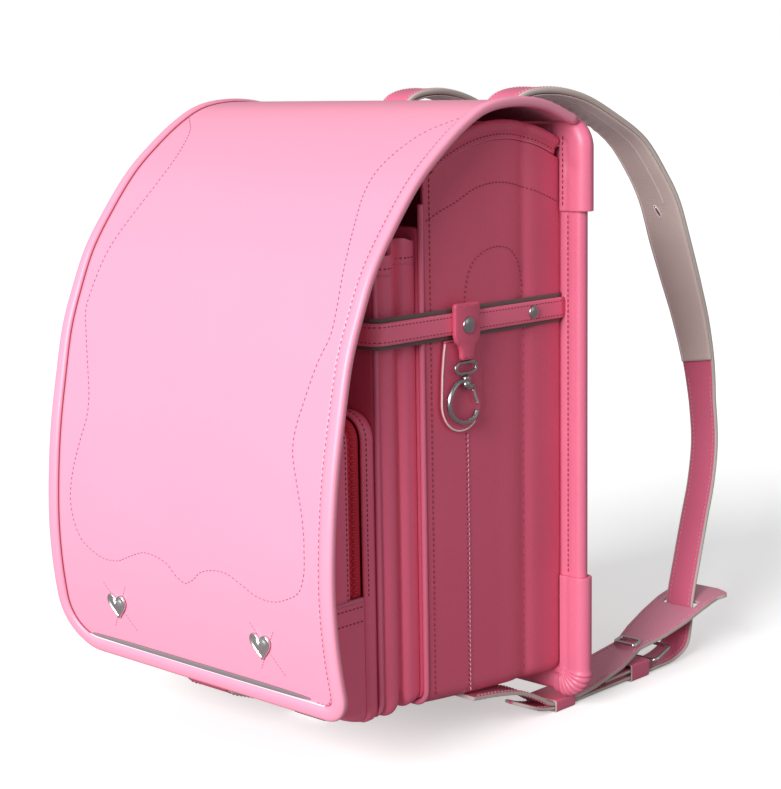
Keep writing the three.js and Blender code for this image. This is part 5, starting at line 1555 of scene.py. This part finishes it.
def heart_outline():
    """A heart: two lobes and a point, from four cubic curves."""
    w, h = 8.5, 16.0
    t = np.linspace(0, 1, 13)[:-1, None]

    def cubic(a, b, c, d):
        """Points of the cubic curve with four given control points."""
        a, b, c, d = (np.array(p, float) for p in (a, b, c, d))
        return (1 - t) ** 3 * a + 3 * (1 - t) ** 2 * t * b + 3 * (1 - t) * t ** 2 * c + t ** 3 * d

    left = np.vstack([
        cubic((0, -0.52 * h), (-0.35 * w, -0.3 * h), (-1.05 * w, -0.02 * h), (-w, 0.24 * h)),
        cubic((-w, 0.24 * h), (-0.94 * w, 0.54 * h), (-0.25 * w, 0.58 * h), (0, 0.26 * h)),
    ])
    right = np.vstack([
        cubic((0, 0.26 * h), (0.25 * w, 0.58 * h), (0.94 * w, 0.54 * h), (w, 0.24 * h)),
        cubic((w, 0.24 * h), (1.05 * w, -0.02 * h), (0.35 * w, -0.3 * h), (0, -0.52 * h)),
    ])
    return np.vstack([left, right])


def heart(x):
    """An embossed heart: a raised border, a groove and a domed middle."""
    outline = heart_outline()
    along = np.array(FLAP_LENGTH - 37.5)
    layers = [(0.94, GAP), (1.0, 0.9), (0.99, 1.5), (0.93, 1.95), (0.86, 2.0), (0.79, 1.75), (0.74, 1.35),
              (0.69, 1.35), (0.62, 1.75), (0.5, 2.2), (0.34, 2.5), (0.15, 2.62), (0.02, 2.64)]
    rings = [on_flap(x + outline[:, 0] * size, along - outline[:, 1] * size, np.full(len(outline), lift))
             for size, lift in layers]
    return bar(np.stack(rings))


for side, x in (("right", 65.0), ("left", -65.0)):
    piece(f"heart_{side}", heart(x), heart_silver, stands_for=[f"heart_rivet_{side}"], slot="steel")


def silver_strip():
    """The strip in the groove above the lower rim, pointed at both ends."""
    u = np.linspace(-1, 1, 90)[:, None]
    v = np.linspace(-1, 1, 7)[None, :]
    along = SHEET_LENGTH - 2.2 + 1.6 * (0.12 + 0.88 * np.sqrt(np.clip(1 - u ** 4, 0, 1))) * v
    x = 99 * u + 0 * v
    return wall(on_flap(x, along, GAP + 0.65 + 0.25 * (1 - v ** 2) + 0 * u), on_flap(x, along, GAP + 0 * x))


piece("flap_silver_strip", silver_strip(), silver, stands_for=["flap_strip"], slot="reflective_band")


# Lower straps and their metal

def lower_points():
    """Rows of x, y, z and width along the lower strap, from the shares in LOWER_LINE."""
    back, above, width = np.array(LOWER_LINE, float).T
    return np.stack([0 * back + STRAP_FOOT_X, back * 178, above + FLOOR, width * 40], axis=-1)


SLOT_Y = float(strap_table()[len(STRAP_LINE) - 2, 1]) - 1


def lower_strap():
    """The strap from under the base to the leaf, with the slot that the shoulder strap passes through."""
    path, place, (width,) = along_table(lower_points(), 14)
    run = lengths(path)
    slot_low, slot_high = np.interp([SLOT_Y - 4.5, SLOT_Y + 4.5], path[:, 1], run)
    where = np.unique(np.concatenate([np.linspace(0, slot_low, 90), np.linspace(slot_low, slot_high, 8),
                                      np.linspace(slot_high, run[-1], 14)]))
    path, width = at_lengths(path, where), np.interp(where, run, width)
    rounding = np.clip((where - run[-1] + 14) / 14, 0, 1)
    width = width * np.sqrt(np.clip(1 - rounding ** 3, 0.12, 1)) / (1 - 0.38 * rounding)
    _, across, _ = frames(path)
    inner = np.linspace(-1, 1, 9)
    edge = np.linspace(0, 1, 6)[1:]
    slot_half = 13.5
    half = width[:, None] / 2
    hole_half = np.where(half > slot_half + 2, slot_half, 0.66 * half)
    columns = np.concatenate([-hole_half - (half - hole_half) * edge[None, ::-1],
                              inner[None, :] * hole_half,
                              hole_half + (half - hole_half) * edge[None, :]], axis=1)
    grid = path[:, None] + columns[..., None] * across[:, None]
    points, quads, tris = sheet(grid)
    row, column = np.divmod(np.arange(len(quads)), grid.shape[1] - 1)
    slot_rows = (where[row] > slot_low - 0.01) & (where[row + 1] < slot_high + 0.01)
    hole = slot_rows & (column >= 5) & (column < 13)
    return points, quads[~hole], tris


pair("lower_strap_leather", lower_strap, leaf_pink, stands_for=["lower_strap"], thickness=2.3,
     rounded=0.5, edge=edge_paint)


def loop_points():
    """The middle line of the leather loop that holds the buckle."""
    rows = np.array([(46, 6.6), (62, 6.8), (80, 7.4), (96, 9.2)], float)
    return np.stack([0 * rows[:, 0] + STRAP_FOOT_X, rows[:, 0], rows[:, 1] + FLOOR], axis=-1)


pair("buckle_loop_leather", lambda: band(spline(loop_points(), 10), 11, -1.15, 1.15, 0.1), strap_pink,
     stands_for=["buckle_loop"], edge=edge_paint, edge_columns=EDGE_COLUMNS)

KEEPER_HEIGHT = {"front": -FLOOR + BACK_BOTTOM - 1.6 - PATCH_SWELL - 2 * GAP, "rear": 11.8}
KEEPER_Y = {"front": 2.0, "rear": 83.0}


def keeper(which):
    """A flat leather ring round the straps: a thin band carried round a rounded rectangle."""
    height = KEEPER_HEIGHT[which]
    way = rounded_loop(12.3, FLOOR, FLOOR + height, 1.6, 1.6, 0.8) + [STRAP_FOOT_X, 0]
    return hoop(way, KEEPER_Y[which] - 10, KEEPER_Y[which] + 10, -1.0, 0.0, 0.0, True)


for which in ("front", "rear"):
    pair(f"keeper_{which}_leather", lambda: keeper(which), strap_pink, stands_for=[f"keeper_{which}"],
         edge=edge_paint, edge_columns=EDGE_COLUMNS)


def tilted_frame(half_width, half_length, y, z, rise, radius):
    """A closed wire frame tilted with the straps."""
    corner = min(half_width, half_length) * 0.35
    way = rounded_loop(half_width, -half_length, half_length, corner, corner, 1.4)
    path = np.stack([STRAP_FOOT_X + way[:, 0], y + way[:, 1], z + rise * way[:, 1]], axis=-1)
    return wire(path, radius, True, 12)


BUCKLE = dict(y=96 + GAP + 8.5 + 1.3, z=9.2 + FLOOR + 3.4)
PRONG_SEAT = lower_points()[9]
pair("buckle_frame", lambda: tilted_frame(14, 8.5, BUCKLE["y"], BUCKLE["z"], 0.35, 1.3), bright_steel,
     stands_for=["buckle"], slot="steel")
pair("buckle_prong_wire",
     lambda: tilted_frame(8, 4, PRONG_SEAT[1], PRONG_SEAT[2] + 1.15 + 1.9, 0.17, 1.3), bright_steel,
     stands_for=["buckle_prong"], slot="steel")


def strap_rows(path, width, out_by, inset, first=0.0, last=1.0):
    """Rows along both edges of a strap, on the face that lies `out_by` from its middle line."""
    _, across, out = frames(path)
    n = len(path)
    keep = slice(int(first * n), int(last * n))
    facing = out if np.mean(out_by) > 0 else -out
    lines = []
    for side in (-1, 1):
        points = path + across * (side * (width / 2 - inset))[:, None] + out * np.asarray(out_by)[:, None]
        lines.append((points[keep], facing[keep]))
    return lines


def shoulder_rows():
    """Rows on the strap's outer face, and on its inner face below the lining."""
    path, place, (width, thick) = along_table(strap_table())
    outer = strap_rows(path, width, -thick / 2, 3.2, 0.02, 0.97)
    first = (LINING_ROWS[1] + 0.4) / place[-1]
    inner = strap_rows(path, width, thick / 2, 3.2, first, 0.97)
    return stitches(outer + inner)


def lower_rows():
    """Rows on both faces of the lower strap."""
    path, place, (width,) = along_table(lower_points(), 14)
    flat = np.full(len(path), 1.15)
    return stitches(strap_rows(path, width, flat, 2.6, 0.02, 0.97)
                    + strap_rows(path, width, -flat, 2.6, 0.02, 0.97))


pair("shoulder_strap_rows", shoulder_rows, pink_thread)
pair("lower_strap_rows", lower_rows, pink_thread)


# Back of the bag

PAD_HALF, PAD_BOTTOM, PAD_HEIGHT = 104.8, 12.5, 311.0


def cushion(u, v):
    """How far the back pad stands out: full in the middle, drawn in at its edge and at its sewn
    channels."""
    edge = (1 - np.abs(u) ** 6) * (1 - np.abs(v) ** 8)
    channels = np.exp(-((np.abs(u) - 0.34) / 0.035) ** 2) * (np.abs(v) < 0.93)
    cross = np.exp(-((v - 0.12) / 0.012) ** 2) * (np.abs(u) < 0.34)
    slack = 0.25 * np.sin(7 * u + 2) * np.sin(9 * v)
    full = (8.2 + slack * edge) * np.sqrt(np.clip(edge, 0, 1))
    return PAD_BACK + 0.6 + full * (1 - 0.42 * np.maximum(channels, cross))


def crowded(count, share):
    """Numbers from -1 to 1 that lie closer at both ends, by a share of a sine."""
    even = np.linspace(-1, 1, count)
    return share * np.sin(even * math.pi / 2) + (1 - share) * even


def back_pad():
    """The cushion over a flat rear: a grid whose lines are closer at its edges."""
    u = crowded(120, 0.35)[None, :]
    v = crowded(160, 0.3)[:, None]
    corner = 1 - 0.012 * (np.abs(v) ** 14) * np.abs(u) ** 2
    x = PAD_HALF * u * corner
    z = PAD_BOTTOM + PAD_HEIGHT / 2 + PAD_HEIGHT / 2 * v * (1 - 0.008 * np.abs(u) ** 14)
    face = np.stack([x, cushion(u, v), z + 0 * u], axis=-1)
    rear = face.copy()
    rear[..., 1] = PAD_BACK
    return wall(face, rear)


padded_back = piece("back_pad_leather", back_pad(), pad_leather, stands_for=["back_pad"],
                    slot="back_lining")


def anchor():
    """The flat carrier that both straps leave from: a rounded plate with rounded edges."""
    way = rounded_loop(64, 315.75, 341.75, 5, 5, 2.5)
    middle = np.array([0.0, 328.75])
    layers = [(0.992, 9.3), (1.0, 9.6), (1.0, 10.7), (0.994, 11.15), (0.97, 11.3), (0.5, 11.3),
              (0.05, 11.3)]
    rings = [np.stack([w[:, 0], 0 * w[:, 0] + y, w[:, 1]], axis=-1)
             for w, y in ((middle + (way - middle) * s, y) for s, y in layers)]
    return bar(np.stack(rings))


piece("strap_anchor_plate", anchor(), shade_darkened_body, stands_for=["strap_anchor"])

TONGUE_LINE = [(-210, 66), (-208, 46), (-204.5, 35), (-201.6, 27), (-200.6, 21.5), (-196, 16),
               (-184, 10.9), (-172, 6.6), (-161, 5), (-140, 4.6), (-126, 4.4), (-116.3, 0.4)]


def tongue_path():
    """The middle line of the tongue."""
    return spline([(0, y, z) for y, z in TONGUE_LINE], 8)


def tongue():
    """The tongue: a flat section carried along TONGUE_LINE."""
    path = tongue_path()
    return band(path, 20, -1.3, 1.3, 0.15, 0.15)


piece("tongue_leather", tongue(), shade_darkened_body, stands_for=["tongue"], edge=edge_paint,
      edge_columns=EDGE_COLUMNS)


def tongue_rows():
    """Rows on both faces of the tongue."""
    path = tongue_path()
    wide = np.full(len(path), 40.0)
    return stitches(strap_rows(path, wide, np.full(len(path), 1.3), 3.0)
                    + strap_rows(path, wide, np.full(len(path), -1.3), 3.0))


piece("tongue_rows", tongue_rows(), dark_thread_with_hole_shade)


def lock_case():
    """The lock under the base: a rounded metal case with a waist where its halves meet."""
    low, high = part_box("lock")
    low, high = (np.array(c) * 1000 - ORIGIN for c in (low, high))
    half = (high - low) / 2
    middle = (high + low) / 2
    layers = [(0.94, -1.0), (0.985, -0.97), (1.0, -0.9), (1.0, -0.06), (0.975, -0.03), (0.975, 0.03),
              (1.0, 0.06),
              (1.0, 0.88), (0.985, 0.96), (0.94, 1.0)]
    way = rounded_loop(half[0], -half[1], half[1], 4, 4, 1.5)
    rings = [np.stack([middle[0] + way[:, 0] * s, middle[1] + way[:, 1] * s,
                       0 * way[:, 0] + middle[2] + half[2] * t],
                      axis=-1) for s, t in layers]
    return bar(np.stack(rings))


piece("lock_case", lock_case(), bright_steel, stands_for=["lock"], slot="steel")


# Camera, light and floor

def camera():
    """The photograph's camera: its place, the directions of its picture, and its lens."""
    right = (0.72721237, 0.68621616, -0.01641818)
    up = (-0.10136632, 0.1310173, 0.98618423)
    back = (0.67888662, -0.71550112, 0.16483661)
    data = bpy.data.cameras.new("camera")
    data.sensor_fit = "HORIZONTAL"
    data.sensor_width = 36.0
    data.lens = PICTURE_REACH * data.sensor_width / PICTURE_WIDTH
    data.clip_start = 0.01
    obj = bpy.data.objects.new("camera", data)
    turn = Matrix((right, up, back)).transposed().to_4x4()
    obj.matrix_world = Matrix.Translation(placed(CAMERA_PLACE).tolist()) @ turn
    bpy.context.scene.collection.objects.link(obj)
    bpy.context.scene.camera = obj


def softbox(name, place, size, power, target=(0, -0.05, 0.18)):
    """A square soft light aimed at a point of the bag."""
    data = bpy.data.lights.new(name, "AREA")
    data.shape = "SQUARE"
    data.size = size
    data.energy = power
    obj = bpy.data.objects.new(name, data)
    obj.location = place
    away = Vector(place) - Vector(target)
    obj.rotation_euler = away.to_track_quat("Z", "Y").to_euler()
    bpy.context.scene.collection.objects.link(obj)


def daylight(name, towards, strength, spread):
    """An even light over everything from one direction, with soft shadows."""
    data = bpy.data.lights.new(name, "SUN")
    data.energy = strength
    data.angle = math.radians(spread)
    obj = bpy.data.objects.new(name, data)
    obj.rotation_euler = Vector(towards).to_track_quat("Z", "Y").to_euler()
    bpy.context.scene.collection.objects.link(obj)


def floor_paper():
    """A pale floor: white paper to the camera, and grey to the light it throws back on the bag."""
    material, n, shader = surface("floor_paper", Base_Color=(0.95, 0.95, 0.95, 1), Roughness=0.9,
                                  Emission_Color=(1, 1, 1, 1), Emission_Strength=0.42)
    output = next(node for node in material.node_tree.nodes if node.type == "OUTPUT_MATERIAL")
    dim = n.add("ShaderNodeBsdfDiffuse")
    dim.inputs["Color"].default_value = (0.30, 0.30, 0.30, 1)
    mixed = n.add("ShaderNodeMixShader")
    n.join(n.add("ShaderNodeLightPath").outputs["Is Camera Ray"], mixed.inputs["Fac"])
    n.join(dim.outputs[0], mixed.inputs[1])
    n.join(shader.outputs[0], mixed.inputs[2])
    n.join(mixed.outputs[0], output.inputs["Surface"])
    return material


def studio():
    """A pale floor, white surroundings, a broad key light from the front and weak fills."""
    mesh = bpy.data.meshes.new("floor")
    size = 30.0
    mesh.from_pydata([(-size, -size, 0), (size, -size, 0), (size, size, 0), (-size, size, 0)], [],
                     [(0, 1, 2, 3)])
    floor = bpy.data.objects.new("floor", mesh)
    bpy.context.scene.collection.objects.link(floor)
    mesh.materials.append(floor_paper())
    world = bpy.data.worlds.new("studio")
    world.use_nodes = True
    n = Nodes(world.node_tree)
    background = next(node for node in world.node_tree.nodes if node.type == "BACKGROUND")
    background.inputs["Color"].default_value = (1, 1, 1, 1)
    seen = n.add("ShaderNodeLightPath").outputs["Is Camera Ray"]
    n.join(n.span(seen, 0, 1, 0.27, 1.0), background.inputs["Strength"])
    bpy.context.scene.world = world
    daylight("key", (0.13, -1.0, 0.40), 4.3, 36)
    softbox("right_fill", (1.6, 0.2, 0.9), 0.9, 2.0)


camera()
studio()
bpy.context.scene.view_settings.view_transform = "Standard"
